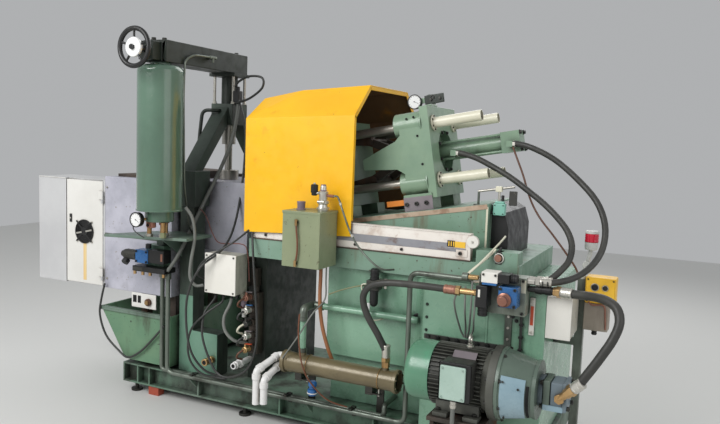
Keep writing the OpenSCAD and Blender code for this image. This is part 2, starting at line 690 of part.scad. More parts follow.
module closing_cylinder() place() color("darkseagreen") {
    block = 110;
    on_clamp() {
        bar_x(-tail_t - 20, -tail_t, 0, 0, tail_bore_d + 24);
        bar_x(-tail_t, closing_l + 10, 0, 0, closing_d);
        for (y = [-44, 44], z = [-44, 44]) bar_x(-tail_t, closing_l + 10, y, z, 14);
        span([closing_l + 10, -block / 2, -block / 2], [closing_l + block, block / 2, block / 2]);
        bar_y(71, -80, -closing_d / 2 + 3, -18, 26);
        bar_y(closing_l + 62, -block / 2 - 20, -block / 2, -12, 26);
    }
    span([684, -105, 1531], [714, -75, 1561]);
    span([980, -100, 1591], [1012, -70, 1621]);
}
module pressure_gauges() place() color("gainsboro") {
    gauge_d = 84;
    neck_axis = [inj_x, -accumulator_y, neck_z + 15];
    gauge_at = [-50, -neck_d / 2 - 25, 0];
    dial = neck_axis + gauge_at;
    bar_y(dial[0], dial[1] - 30, dial[1], dial[2], gauge_d);
    rod(dial, neck_axis + unit(gauge_at) * (neck_d / 2 + eps), 16);
    on_clamp() {
        span([-tail_t, -150, platen_top], [0, -60, platen_top + 12]);
        span([-tail_t + 10, -150, platen_top + 12], [70, -135, platen_top + 60]);
        bar_y(-90, -165, -135, 276, gauge_d - 4);
        span([-60, -150, 262], [-tail_t + 10, -140, 290]);
    }
}
module limit_switch() place() color("turquoise") {
    switch_y = -end_y - 20;
    span([way_right + 15, switch_y - 20, 1249], [way_right + 75, -end_y, 1309]);
    bar_z(way_right + 40, switch_y, 1309, 1372, 12);
    span([way_right + 22, switch_y - 14, 1366], [way_right + 54, switch_y + 14, 1394]);
    rod([890, switch_y, 1362], [1075, switch_y, 1395], 12);
    bar_z(895, switch_y, way_at(900), 1363, 10);
}
module hydraulic_tank() place() color("darkseagreen") {
    translate([0, 0, tank_toe]) linear_extrude(tank_top - tank_toe)
        polygon([[tank_left, -tank_y], [tank_step - 60, -tank_y], [tank_step, tank_front],
            [tank_right, tank_front], [tank_right, tank_y], [tank_left, tank_y]]);
    span([tank_left, -tank_y + 66, base_top], [tank_right, tank_y, tank_toe]);
    span([tank_step, tank_front, base_top], [tank_right, -tank_y + 66, tank_toe]);
}
module valve_manifold() place() color("olivedrab") {
    span([block_left, block_front, block_z], [block_right, tank_front, block_top]);
    for (y = [block_front + 25, block_front + 64]) bar_x(block_right, block_right + 34, y, 985, 34);
    bar_x(block_right, block_right + 34, block_front + 40, 948, 30);
    bar_x(block_right + 34, block_right + 130, block_front + 40, 948, 40);
}
module pump_valves() place() color("royalblue") {
    span([block_left + 30, block_front - 80, 974], [block_left + 190, block_front, 1024]);
    span([block_left + 110, block_front - 72, 868], [block_left + 196, block_front, 964]);
    bar_y(block_left + 140, block_front - 118, block_front - 72, 905, 44);
    span([block_left + 8, block_front - 82, 856], [block_left + 62, block_front, 958]);
    bar_z(block_left + 35, block_front - 42, 812, 856, 48);
    bar_x(930, block_left + 8, block_front - 60, 918, 34);
}
module pressure_pipes() place() color("slategray") {
    pipe_d = 26;
    pipe_z = base_top + pipe_d / 2;
    front = -base_y - 47;
    back = -base_y - 19;
    bend = 48;
    drop_x = cooler_right + 45;
    tube(rounded([[block_left, front - 7, 960], [drop_x, front - 7, 960], [drop_x, front, pipe_z],
        [casing_mid + 30, front, pipe_z], [casing_mid + 30, front, valve_z]], bend), pipe_d, 12);
    tube(rounded([[520, -tank_y + 66, pipe_z + 60], [520, back, pipe_z + 60], [520, back, pipe_z],
        [casing_mid - 35, back, pipe_z], [casing_mid - 35, back, valve_z]], 28), pipe_d, 12);
}
module oil_cooler() place() color("peru") {
    bar_x(cooler_left, cooler_right, -cooler_y, cooler_z, cooler_d);
    for (x = [cooler_left - 20, cooler_right]) bar_x(x, x + 20, -cooler_y, cooler_z, cooler_d + 16);
    strap_z = cooler_z - cooler_d / 2 - 20;
    for (x = [cooler_left + 80, cooler_right - 130]) {
        span([x - 20, -cooler_y - 30, strap_z], [x + 20, -cooler_y + 30, cooler_z - 40]);
        span([x - 20, -cooler_y - 30, strap_z - 12], [x + 20, -base_y + 50, strap_z]);
        span([x - 20, -base_y + 38, base_top], [x + 20, -base_y + 50, strap_z - 12]);
    }
    bar_z(cooler_right - 55, -cooler_y, cooler_z, cooler_z + cooler_d / 2 + 40, 30);
    bar_z(cooler_left + 86, -cooler_y, cooler_z, cooler_z + cooler_d / 2 + 12, 44);
}
module cooler_pipes() place() color("darkseagreen") {
    riser = cooler_left + 86;
    riser_d = 34;
    stand_off = 44;
    elbow_r = 38;
    pipe_z = 706;
    pipe_end = tank_step - 60 + stand_off - riser_d / 2 - eps;
    pipe([[riser, -cooler_y, cooler_z + cooler_d / 2 + 12], [riser, -cooler_y, pipe_z],
        [riser, -tank_y - stand_off, pipe_z], [pipe_end, -tank_y - stand_off, pipe_z]], riser_d, elbow_r);
}
module drain_elbows() place() color("white") {
    drain_d = 38;
    outlet = [cooler_left - 20, -cooler_y, cooler_z];
    joint_d = 46;
    for (leg = [[outlet + [0, 0, 25], [-40, 0, 0], [-48, -140, -58], 180],
            [outlet + [0, 0, -25], [-30, 0, 0], [-10, -140, -48], 130]]) {
        turn = leg[0] + leg[1];
        low = turn + leg[2];
        bar_x(turn[0], leg[0][0], turn[1], turn[2], drain_d);
        bar_z(turn[0], turn[1], turn[2] - joint_d / 2, turn[2] + joint_d / 2, joint_d);
        rod(turn, low, drain_d);
        bar_z(low[0], low[1], low[2] - joint_d / 2, low[2] + joint_d / 2, joint_d);
        bar_z(low[0], low[1], low[2] - leg[3], low[2], drain_d);
    }
    bar_y(-620, -column_y - 80, -column_y, 280, 44);
    bar_y(pedestal_left + 16, -pedestal_y - 170, -pedestal_y, 290, 40);
}
module motor() place() color("seagreen") {
    bar_x(motor_left, body_left, -motor_y, motor_z, motor_d - 14);
    bar_x(body_left, body_right, -motor_y, motor_z, motor_d);
    bar_x(body_right, bell_left, -motor_y, motor_z, flange_d);
    span([stand_left + 20, -motor_y - foot_span / 2, foot_z],
        [stand_right - 30, -motor_y + foot_span / 2, foot_z + 40]);
    span([932, -motor_y - 230, 484], [1070, -motor_y - 100, 650]);
    bar_z(1003, -motor_y, motor_z + motor_d / 2 - 5, motor_z + motor_d / 2 + 16, 24);
    translate([1003, -motor_y, motor_z + motor_d / 2 + 34]) rotate([0, 90, 0])
        rotate_extrude() translate([18, 0]) circle(d = 12);
}
module motor_base() place() color("dimgray") {
    half = foot_span / 2 + 30;
    span([stand_left, -motor_y - half, foot_z - 20], [stand_right, -motor_y + half, foot_z]);
    for (x = [stand_left + 10, stand_right - 30])
        span([x, -motor_y - half + 20, 12], [x + 20, -motor_y + half - 20, foot_z - 20]);
    for (y = [-motor_y - half + 20, -motor_y + half - 50])
        span([stand_left - 10, y, 0], [stand_right + 10, y + 30, 12]);
    span([stand_left + 30, -motor_y + half - 40, 90], [stand_right - 30, -base_y, 160]);
}
module bell_housing() place() color("cadetblue")
    translate([bell_left, -motor_y, motor_z]) rotate([0, 90, 0])
        cylinder(h = bell_l, d1 = flange_d - 16, d2 = 244);
module pump() place() color("slategray") {
    port_x = pump_left + 74;
    lead = unit(pump_route[1] - pump_route[0]);
    port = pump_route[0] - lead * (pump_route[0][0] - port_x) / lead[0];
    bar_x(bell_right, pump_left, -motor_y, motor_z, 140);
    span([pump_left, -motor_y - 64, motor_z - 64], [pump_right, -motor_y + 64, motor_z + 64]);
    bar_y(port_x, port[1] - 17, -motor_y - 64, port[2], 34);
    rod(port, pump_route[0] - eps * lead, 30);
}
module lubrication_tank() place() color("darkseagreen") {
    tank_roof = lube_z + lube_h;
    span([lube_left, lube_back - lube_depth, lube_z], [lube_left + lube_w, lube_back, tank_roof]);
    span([lube_left + 30, lube_back, lube_z + 20], [lube_left + lube_w - 40, -bed_y, lube_z + 80]);
    bar_z(lube_left + 62, lube_back - 110, tank_roof, tank_roof + 44, 44);
    bar_z(lube_left + 176, lube_back - 85, tank_roof, tank_roof + 70, 54);
    bar_z(lube_left + 176, lube_back - 85, tank_roof + 70, tank_roof + 132, 34);
    bar_x(lube_left + 100, lube_left + 176, lube_back - 85, tank_roof + 90, 16);
    bar_z(lube_left + 108, lube_back - 85, tank_roof + 98, tank_roof + 134, 38);
}
module air_unit() place() color("dimgray") {
    unit_x = 430;
    span([unit_x - 26, -tank_y - 40, 838], [unit_x + 26, -tank_y, 888]);
    bar_z(unit_x, -tank_y - 62, 888, 944, 50);
    span([unit_x - 34, -tank_y - 92, 838], [unit_x + 34, -tank_y - 36, 888]);
    bar_z(unit_x, -tank_y - 62, 750, 838, 46);
}
module button_post() place() color("slategray") {
    span([post_x, button_y - 20, base_top], [post_x + post_w, button_y + 20, button_z + 107]);
    for (z = [400, 640]) span([tank_right, button_y - 20, z], [post_x, button_y + 20, z + 40]);
}
module button_box() place() color("gold") {
    box_x = post_x + post_w;
    span([box_x, button_y - 38, button_z - 133], [box_x + button_w - 26, button_y + 38, button_z]);
    span([box_x, button_y - 45, button_z], [box_x + button_w, button_y + 45, button_z + 128]);
    for (x = [box_x + 45, box_x + 92]) bar_y(x, button_y - 58, button_y - 45, button_z + 80, 26);
}
module beacon_lamp() place() color("tomato") {
    foot = [post_x + post_w / 2, button_y, button_z + 107];
    lamp = [post_x + 50, button_y, button_z + 248];
    bar_z(foot[0], button_y, foot[2], foot[2] + 14, 34);
    rod(foot + [0, 0, 10], lamp + [0, 0, 6], 24);
    bar_z(lamp[0], button_y, lamp[2], lamp[2] + 40, beacon_d - 6);
    bar_z(lamp[0], button_y, lamp[2] + 40, lamp[2] + 95, beacon_d);
}
module hose_front() place() color("black") tube(front_route, 30);
module hose_rear() place() color("black") tube(rear_route, 30);
module hose_pump() place() color("black") tube(pump_route, 40);
module hose_cooler() place() color("black") tube(cooler_route, 34);

base_frame();
levelling_feet();
packing_block();
drip_pan();
furnace_legs();
furnace_casing();
furnace_cover();
power_cabinet();
cabinet_door();
nozzle();
accumulator_shelf();
accumulator();
crossbeam();
handwheel();
injection_cylinder();
injection_head();
front_column();
rear_column();
plunger_rod();
furnace_valves();
electrical_boxes();
water_manifold();
bed();
bed_pedestal();
guard_rails();
guard_hood();
guard_rollers();
fixed_platen();
moving_platen();
tail_platen();
tie_bars();
tie_bar_covers();
toggle_links();
closing_cylinder();
pressure_gauges();
limit_switch();
hydraulic_tank();
valve_manifold();
pump_valves();
pressure_pipes();
oil_cooler();
cooler_pipes();
drain_elbows();
motor();
motor_base();
bell_housing();
pump();
lubrication_tank();
air_unit();
button_post();
button_box();
beacon_lamp();
hose_front();
hose_rear();
hose_pump();
hose_cooler();
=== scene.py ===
import json
import math
import bpy
from mathutils import Matrix, Vector

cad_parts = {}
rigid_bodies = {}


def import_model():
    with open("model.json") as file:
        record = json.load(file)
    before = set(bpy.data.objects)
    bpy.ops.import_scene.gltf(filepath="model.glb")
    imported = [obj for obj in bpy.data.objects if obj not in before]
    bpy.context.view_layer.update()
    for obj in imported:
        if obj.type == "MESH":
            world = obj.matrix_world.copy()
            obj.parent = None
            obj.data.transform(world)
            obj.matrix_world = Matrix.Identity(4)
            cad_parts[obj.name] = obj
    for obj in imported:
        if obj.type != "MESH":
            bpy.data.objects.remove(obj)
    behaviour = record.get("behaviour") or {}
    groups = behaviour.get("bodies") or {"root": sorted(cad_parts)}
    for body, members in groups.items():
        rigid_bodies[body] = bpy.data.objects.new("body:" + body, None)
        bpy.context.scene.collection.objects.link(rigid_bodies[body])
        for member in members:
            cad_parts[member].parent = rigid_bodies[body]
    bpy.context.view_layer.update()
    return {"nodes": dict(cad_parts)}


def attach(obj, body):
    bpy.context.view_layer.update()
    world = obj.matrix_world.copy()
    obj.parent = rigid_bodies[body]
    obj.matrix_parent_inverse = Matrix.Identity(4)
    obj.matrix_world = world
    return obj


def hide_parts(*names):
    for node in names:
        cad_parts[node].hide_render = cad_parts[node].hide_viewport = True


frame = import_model()
print("frame loaded with", len(frame["nodes"]), "nodes")

# Places are in millimetres from the machine's own centre line, as on a drawing
machine = Matrix.Translation((0.2095, 0.207, 0))
clampSet = {"x": 626, "z": 1553, "tilt": 10}
clamp = (machine @ Matrix.Translation((clampSet["x"] / 1000, 0, clampSet["z"] / 1000))
         @ Matrix.Rotation(-math.radians(clampSet["tilt"]), 4, "Y"))
toFront = (0, -1, 0)
toRear = (0, 1, 0)
toRight = (1, 0, 0)
toLeft = (-1, 0, 0)
upward = (0, 0, 1)
downward = (0, 0, -1)


def mm(x, y, z):
    return Vector((x, y, z)) / 1000


def at(x, y, z, where=machine):
    return where @ mm(x, y, z)


# Camera, where the photograph was taken
cameraSet = {"place": (2.1095, -3.570, 1.600), "turn": 25.27, "dip": 5.758, "roll": 2.11,
             "focal": 719.5, "wide": 720, "sensor": 36}


def aimCamera():
    turn, dip, roll = (math.radians(cameraSet[k]) for k in ("turn", "dip", "roll"))
    ahead = Vector((-math.sin(turn) * math.cos(dip), math.cos(turn) * math.cos(dip), -math.sin(dip)))
    level = Vector((math.cos(turn), math.sin(turn), 0))
    up = level.cross(ahead)
    side = math.cos(roll) * level + math.sin(roll) * up
    top = math.cos(roll) * up - math.sin(roll) * level
    bpy.ops.object.camera_add()
    camera = bpy.context.object
    camera.name = "camera"
    camera.data.sensor_width = cameraSet["sensor"]
    camera.data.lens = cameraSet["sensor"] * cameraSet["focal"] / cameraSet["wide"]
    look = Matrix((side, top, -ahead)).transposed().to_4x4()
    camera.matrix_world = Matrix.Translation(cameraSet["place"]) @ look
    bpy.context.scene.camera = camera


aimCamera()
print("camera set")


# Materials
def tint(code):
    parts = [int(code[k:k + 2], 16) / 255 for k in (0, 2, 4)]
    return [c / 12.92 if c <= 0.04045 else ((c + 0.055) / 1.055) ** 2.4 for c in parts] + [1]


def noise(tree, coords, scale, detail=5, stretch=(1, 1, 1), offset=0):
    place = tree.nodes.new("ShaderNodeMapping")
    place.inputs["Scale"].default_value = stretch
    place.inputs["Location"].default_value = (offset, offset, offset)
    tree.links.new(coords, place.inputs["Vector"])
    cloud = tree.nodes.new("ShaderNodeTexNoise")
    cloud.inputs["Scale"].default_value = scale
    cloud.inputs["Detail"].default_value = detail
    cloud.inputs["Roughness"].default_value = surfaceSet["cloudRough"]
    tree.links.new(place.outputs["Vector"], cloud.inputs["Vector"])
    return cloud.outputs["Fac"]


def ramp(tree, value, low, high, first=0.0, last=1.0):
    node = tree.nodes.new("ShaderNodeMapRange")
    node.interpolation_type = "SMOOTHSTEP"
    for key, number in (("From Min", low), ("From Max", high), ("To Min", first), ("To Max", last)):
        node.inputs[key].default_value = number
    tree.links.new(value, node.inputs["Value"])
    return node.outputs["Result"]


def product(tree, first, second):
    node = tree.nodes.new("ShaderNodeMath")
    node.operation = "MULTIPLY"
    for socket, value in zip(node.inputs, (first, second)):
        if isinstance(value, (int, float)):
            socket.default_value = value
        else:
            tree.links.new(value, socket)
    return node.outputs["Value"]


def mixed(tree, factor, under, over):
    node = tree.nodes.new("ShaderNodeMix")
    node.data_type = "RGBA"
    for socket, value in ((node.inputs[0], factor), (node.inputs[6], under), (node.inputs[7], over)):
        if isinstance(value, list):
            socket.default_value = value
        else:
            tree.links.new(value, socket)
    return node.outputs[2]


# What a finish has unless its own look says otherwise
surfaceSet = {"coatRough": 0.12, "cloudRough": 0.62, "cornerSamples": 6, "cornerReach": (0.35, 0.95),
              "broadAt": (0.32, 0.68), "patchAt": (0.3, 0.62), "roughAt": (0.3, 0.7)}
plainLook = {"metal": 0, "coat": 0, "broad": 2.5, "stainAt": (0.56, 0.74), "stainScale": 7, "drip": 0.25,
             "stainMost": 0.7, "speckScale": 55, "speckAt": (0.66, 0.72), "shadeGrimeReach": 0.07,
             "shadeGrimeMost": 0.75, "wearAt": (0.71, 0.77), "rough": (0.3, 0.5), "bump": 0.12, "bumpScale": 120,
             "bumpDepth": 0.001}


def finish(name, base, shade, own):
    look = {**plainLook, **own}
    material = bpy.data.materials.new(name)
    material.use_nodes = True
    tree = material.node_tree
    shader = tree.nodes["Principled BSDF"]
    coords = tree.nodes.new("ShaderNodeTexCoord").outputs["Object"]
    shader.inputs["Metallic"].default_value = look["metal"]
    shader.inputs["Coat Weight"].default_value = look["coat"]
    shader.inputs["Coat Roughness"].default_value = surfaceSet["coatRough"]
    broad = ramp(tree, noise(tree, coords, look["broad"], 6), *surfaceSet["broadAt"])
    colour = mixed(tree, broad, tint(base), tint(shade))
    if "stain" in look:
        run = noise(tree, coords, look["stainScale"], 7, (1, 1, look["drip"]), 3.1)
        amount = product(tree, ramp(tree, run, *look["stainAt"]), look["stainMost"])
        colour = mixed(tree, amount, colour, tint(look["stain"]))
    if "speck" in look:
        dots = noise(tree, coords, look["speckScale"], 3, offset=7.7)
        colour = mixed(tree, ramp(tree, dots, *look["speckAt"]), colour, tint(look["speck"]))
    # Darker in corners and recesses found by the AO node, in noise patches: painted shade mixed with grime
    if "shadeGrime" in look:
        corner = tree.nodes.new("ShaderNodeAmbientOcclusion")
        corner.samples = surfaceSet["cornerSamples"]
        corner.inputs["Distance"].default_value = look["shadeGrimeReach"]
        patches = ramp(tree, noise(tree, coords, 9, offset=5.3), *surfaceSet["patchAt"])
        shadeAndDirt = product(tree, ramp(tree, corner.outputs["AO"], *surfaceSet["cornerReach"], 1, 0), patches)
        colour = mixed(tree, product(tree, shadeAndDirt, look["shadeGrimeMost"]), colour, tint(look["shadeGrime"]))
    if "wear" in look:
        scrape = ramp(tree, noise(tree, coords, 14, 8, offset=11.3), *look["wearAt"])
        colour = mixed(tree, scrape, colour, tint(look["wear"]))
    tree.links.new(colour, shader.inputs["Base Color"])
    rough = ramp(tree, noise(tree, coords, 18, 4, offset=2.2), *surfaceSet["roughAt"], *look["rough"])
    tree.links.new(rough, shader.inputs["Roughness"])
    bump = tree.nodes.new("ShaderNodeBump")
    bump.inputs["Strength"].default_value = look["bump"]
    bump.inputs["Distance"].default_value = look["bumpDepth"]
    tree.links.new(noise(tree, coords, look["bumpScale"], 3), bump.inputs["Height"])
    tree.links.new(bump.outputs["Normal"], shader.inputs["Normal"])
    return material


# Each finish: its colour, the colour it shades to, and what is its own
looks = {
    "lightGreen": ("86a78d", "769c84", {"stain": "4d5240", "stainMost": 0.55, "speck": "3c3f35",
        "shadeGrime": "2f2f24", "rough": (0.28, 0.5), "coat": 0.2}),
    "bedGreen": ("86a492", "75957f", {"stain": "6d5238", "drip": 0.15, "stainAt": (0.53, 0.7),
        "stainMost": 0.75, "speck": "4a3a2c", "shadeGrime": "32291d", "rough": (0.3, 0.55)}),
    "tankGreen": ("89b297", "78a288", {"stain": "5b7a66", "drip": 0.12, "stainMost": 0.55, "shadeGrime": "27302a",
        "rough": (0.22, 0.42), "coat": 0.35}),
    "castGreen": ("86a085", "75917a", {"stain": "565a42", "stainMost": 0.4, "shadeGrime": "2c2c20",
        "rough": (0.28, 0.45), "coat": 0.3, "bump": 0.2, "bumpScale": 45}),
    "baseGreen": ("6f7f72", "5c7a66", {"stain": "34332c", "drip": 0.6, "stainAt": (0.45, 0.66),
        "stainMost": 0.85, "speck": "2a2924", "shadeGrime": "1e1d19", "rough": (0.4, 0.7)}),
    "panGreen": ("6f9070", "5f8468", {"stain": "403f30", "drip": 0.3, "speck": "33352c", "shadeGrime": "262820",
        "rough": (0.35, 0.6)}),
    "darkGreen": ("222c23", "1a221b", {"stain": "151814", "stainMost": 0.6, "wear": "4d5a4e",
        "shadeGrime": "121310", "rough": (0.35, 0.6)}),
    "columnGreen": ("465348", "343f37", {"stain": "23261f", "stainAt": (0.48, 0.66), "stainMost": 0.85,
        "shadeGrime": "151612", "rough": (0.35, 0.6)}),
    "vesselGreen": ("5c7866", "546e5d", {"stain": "4f5a3c", "drip": 0.1, "stainMost": 0.3, "speck": "a9b8a4",
        "speckAt": (0.735, 0.76), "rough": (0.16, 0.26), "coat": 0.6, "bump": 0.04}),
    "shelfGreen": ("75897a", "63766a", {"stain": "3f453a", "stainAt": (0.5, 0.68), "shadeGrime": "20231d",
        "rough": (0.3, 0.55)}),
    "cowlGreen": ("649578", "55876b", {"stain": "4d9a75", "stainScale": 4, "drip": 1, "stainMost": 0.8,
        "shadeGrime": "23302a", "rough": (0.25, 0.4), "coat": 0.3}),
    "bellGreen": ("66776a", "556459", {"stain": "2f332c", "stainMost": 0.6, "shadeGrime": "191b18",
        "rough": (0.25, 0.45), "coat": 0.2}),
    # Pale blue; on the bell housing it is a painted highlight
    "panelBlue": ("9ab4be", "7f9aa6", {"stain": "3c4a50", "stainAt": (0.6, 0.72), "rough": (0.2, 0.4),
        "coat": 0.3}),
    "oliveGreen": ("8d8f68", "787f60", {"stain": "54583f", "drip": 0.2, "shadeGrime": "2c2a1f"}),
    "lubeGreen": ("8f9776", "828c6e", {"stain": "6b5a40", "drip": 0.3, "stainMost": 0.65, "speck": "5f5a40",
        "shadeGrime": "3b3626"}),
    "guardOrange": ("ffc61a", "fbb914", {"broad": 1.6, "stain": "d98f16", "stainScale": 9, "drip": 1,
        "stainAt": (0.58, 0.74), "stainMost": 0.5, "speck": "7d5a1c", "speckScale": 26,
        "speckAt": (0.715, 0.745), "shadeGrime": "8a5410", "shadeGrimeMost": 0.5, "rough": (0.3, 0.45), "bump": 0.05}),
    "casingSilver": ("c3c2cd", "a9a9b4", {"broad": 5, "stain": "8c8a90", "stainScale": 5, "drip": 0.8,
        "stainMost": 0.6, "speck": "8b8378", "shadeGrime": "4e4a48", "rough": (0.4, 0.6), "metal": 0.15,
        "bump": 0.2, "bumpScale": 14}),
    "cabinetWhite": ("e4e2dd", "dad8d2", {"stain": "b59a76", "stainScale": 4, "drip": 0.12,
        "stainAt": (0.64, 0.8), "stainMost": 0.45, "shadeGrime": "6f6353", "rough": (0.4, 0.55)}),
    # A darker copy of the cabinet white for the cabinet body: painted shade
    "cabinetShadeGrey": ("c8c8c8", "bdbdbe", {"stain": "a49a8c", "stainScale": 4, "drip": 0.12,
        "stainAt": (0.64, 0.8), "stainMost": 0.4, "shadeGrime": "5f574b", "rough": (0.4, 0.55)}),
    "boxWhite": ("eeebe3", "e5e2d9", {"stain": "9c917c", "drip": 0.3, "stainAt": (0.6, 0.8), "stainMost": 0.4,
        "shadeGrime": "665e4d", "rough": (0.35, 0.5)}),
    "railCream": ("f4eee6", "eae1d7", {"stain": "a88468", "stainScale": 6, "drip": 1, "stainAt": (0.5, 0.7),
        "stainMost": 0.55, "wear": "8c5f45", "wearAt": (0.64, 0.72), "shadeGrime": "6a4630", "shadeGrimeMost": 0.9,
        "shadeGrimeReach": 0.05, "rough": (0.45, 0.65)}),
    "coverCream": ("e7e2cd", "d8d5bd", {"stain": "9fa486", "stainAt": (0.58, 0.75), "stainMost": 0.6,
        "shadeGrime": "4d4a38", "rough": (0.3, 0.45), "coat": 0.2}),
    "darkSteel": ("4a4a47", "36352f", {"stain": "1c1b18", "speck": "6f6a60", "shadeGrime": "11100e",
        "rough": (0.35, 0.6), "metal": 0.5}),
    "rustSteel": ("5d5148", "3f3a35", {"stain": "6b4630", "stainAt": (0.5, 0.65), "shadeGrime": "17130f",
        "rough": (0.5, 0.75), "metal": 0.3, "bump": 0.3, "bumpScale": 60}),
    "brightSteel": ("b9b6ae", "aaa69c", {"stain": "8d8476", "drip": 1, "stainMost": 0.12,
        "rough": (0.3, 0.38), "metal": 0.8, "bump": 0}),
    "pipeSteel": ("7a8278", "6b736a", {"stain": "3a3a33", "stainAt": (0.45, 0.65), "shadeGrime": "20201b",
        "rough": (0.28, 0.5), "metal": 0.55}),
    "zinc": ("d6d3cb", "c2beb3", {"stain": "9a9482", "stainMost": 0.35, "rough": (0.28, 0.4), "metal": 0.75,
        "bump": 0}),
    "brass": ("c9a878", "b48f60", {"stain": "6c5537", "rough": (0.25, 0.42), "metal": 0.85, "bump": 0.03}),
    "copper": ("a87a68", "8d6152", {"stain": "5d4038", "metal": 0.6}),
    "blackPaint": ("1e1e1e", "151515", {"stain": "2e2c29", "speck": "585650", "speckAt": (0.72, 0.76),
        "rough": (0.28, 0.5)}),
    "blackPlastic": ("242424", "191919", {"stain": "36342f", "rough": (0.35, 0.55), "bump": 0.08}),
    "finGrey": ("5a5b53", "44453f", {"stain": "2a2a25", "shadeGrime": "151513", "shadeGrimeReach": 0.03,
        "rough": (0.4, 0.6)}),
    "valveBlue": ("2c6fae", "235c96", {"stain": "1c3450", "shadeGrime": "101c2a", "rough": (0.22, 0.4),
        "coat": 0.3}),
    "pumpGrey": ("7d8b93", "66747c", {"stain": "3f474b", "shadeGrime": "1c2022", "bump": 0.3, "bumpScale": 70}),
    "coolerOlive": ("7d7154", "6a5f45", {"stain": "4b4330", "drip": 1, "shadeGrime": "2a2418",
        "rough": (0.28, 0.45), "metal": 0.2, "coat": 0.2}),
    "pipeWhite": ("f1f0ef", "e6e5e3", {"stain": "c3c0b8", "stainMost": 0.3, "shadeGrime": "8b8678",
        "rough": (0.25, 0.4)}),
    "yellowPlastic": ("ffd048", "f6bf30", {"stain": "a87c24", "stainMost": 0.4, "shadeGrime": "6b4c14",
        "rough": (0.3, 0.45)}),
    "greyBrown": ("a3998c", "8f8579", {"stain": "6a6257", "rough": (0.4, 0.6)}),
    "lensRed": ("d0203a", "c01a32", {"rough": (0.12, 0.2), "coat": 0.6, "bump": 0.02}),
    "packingRed": ("b8543a", "9c4632", {"stain": "4a2c22", "rough": (0.45, 0.65)}),
    "mint": ("88c0af", "79b2a1", {"stain": "4a7f72", "stainMost": 0.4, "rough": (0.3, 0.45)}),
    "hoseBlack": ("403f3b", "32322f", {"broad": 7, "stain": "575852", "rough": (0.42, 0.6), "bump": 0.35,
        "bumpScale": 420, "bumpDepth": 0.0006}),
    "conduitGrey": ("7d7f7a", "6b6d68", {"rough": (0.4, 0.55), "bump": 0.3, "bumpScale": 300}),
    "cableBlack": ("3b3c3a", "2c2d2b", {"rough": (0.35, 0.5)}),
    "dialWhite": ("f2f2f0", "e6e6e4", {"rough": (0.12, 0.2), "coat": 0.7, "bump": 0.0}),
    "signalRed": ("d4532c", "c24825", {"rough": (0.3, 0.4)}),
    "greyPlastic": ("cfd0cc", "bfc0bb", {"stain": "8f8d82", "stainMost": 0.4, "shadeGrime": "5e5b50"}),
    "capMaroon": ("8f7f8a", "7a6b76", {"stain": "51444c", "rough": (0.35, 0.5)}),
    "lidMint": ("b4cbbf", "a1bbad", {"stain": "7f9a8c", "stainMost": 0.5, "shadeGrime": "2c342f",
        "rough": (0.25, 0.4), "coat": 0.3}),
    "plateGrey": ("8f868a", "7f777b", {"stain": "6d6166", "rough": (0.3, 0.45), "metal": 0.4}),
    "tubeBrown": ("7b4b33", "693e29", {"rough": (0.3, 0.45), "bump": 0.02}),
    "tubeRust": ("a06a45", "8a5838", {"stain": "5d4030", "rough": (0.35, 0.55)}),
    "rustRun": ("e9d3a4", "e4c88f", {"stain": "dfb05a", "drip": 0.1, "stainAt": (0.45, 0.65),
        "rough": (0.4, 0.55)}),
    # A darker copy of the box white for the boxes' sides: painted shade
    "boxShadedSide": ("c9c6ba", "b7b4a8", {"stain": "7c7a6e", "drip": 0.3, "shadeGrime": "3c3a30",
        "rough": (0.35, 0.5)}),
    "cableRed": ("7d4a40", "6b3f37", {"rough": (0.35, 0.5)}),
    "hoseBrown": ("6e4a38", "5c3c2d", {"rough": (0.35, 0.5), "bump": 0.1, "bumpScale": 300}),
    # Dark brown copy of the guard orange for the hood's inside: painted shade, with orange stain patches
    "guardInsideShade": ("7d5a38", "6a4a2e", {"broad": 3, "stain": "b9761d", "stainScale": 5, "drip": 1,
        "stainAt": (0.56, 0.7), "shadeGrime": "1f150d", "rough": (0.5, 0.7)}),
    "railGrey": ("9a9a9e", "84858c", {"stain": "6b4a38", "stainScale": 9, "drip": 1, "stainAt": (0.52, 0.66),
        "shadeGrime": "4a382c", "rough": (0.45, 0.65)}),
    "orangePlate": ("e8892c", "d67a24", {"stain": "8b4a1c", "stainAt": (0.6, 0.75), "rough": (0.4, 0.55)}),
    # A lighter green for the lit front of the column's lower part: painted light
    "columnLitGreen": ("739984", "658c77", {"stain": "46584b", "drip": 0.3, "stainMost": 0.6, "shadeGrime": "262c27",
        "coat": 0.2}),
    "manifoldGrey": ("8f978a", "7f887c", {"stain": "5a5f52", "shadeGrime": "2c2e26"}),
    "wayRust": ("c4b09a", "ab917a", {"stain": "85634a", "stainScale": 10, "drip": 1, "stainAt": (0.46, 0.62),
        "shadeGrime": "4a3424", "rough": (0.45, 0.65)}),
    # Near black for the insides of holes, bores and slots: painted shade
    "holeShadeBlack": ("0c0c0c", "080808", {"rough": (0.7, 0.9)}),
}
paints = {name: finish(name, *look) for name, look in looks.items()}
print("materials made:", len(paints))


# Workshop tools
toolSet = {"merge": 0.00002, "flat": 1, "smooth": 35, "washer": 1.3, "washerTall": 0.14, "headTall": 0.62}


def pickNothing():
    if bpy.context.object and bpy.context.object.mode != "OBJECT":
        bpy.ops.object.mode_set(mode="OBJECT")
    bpy.ops.object.select_all(action="DESELECT")


def pick(obj):
    pickNothing()
    obj.select_set(True)
    bpy.context.view_layer.objects.active = obj


def settle(obj, where=None):
    if where is not None:
        obj.matrix_world = where @ obj.matrix_world
    pick(obj)
    bpy.ops.object.transform_apply(location=True, rotation=True, scale=True)


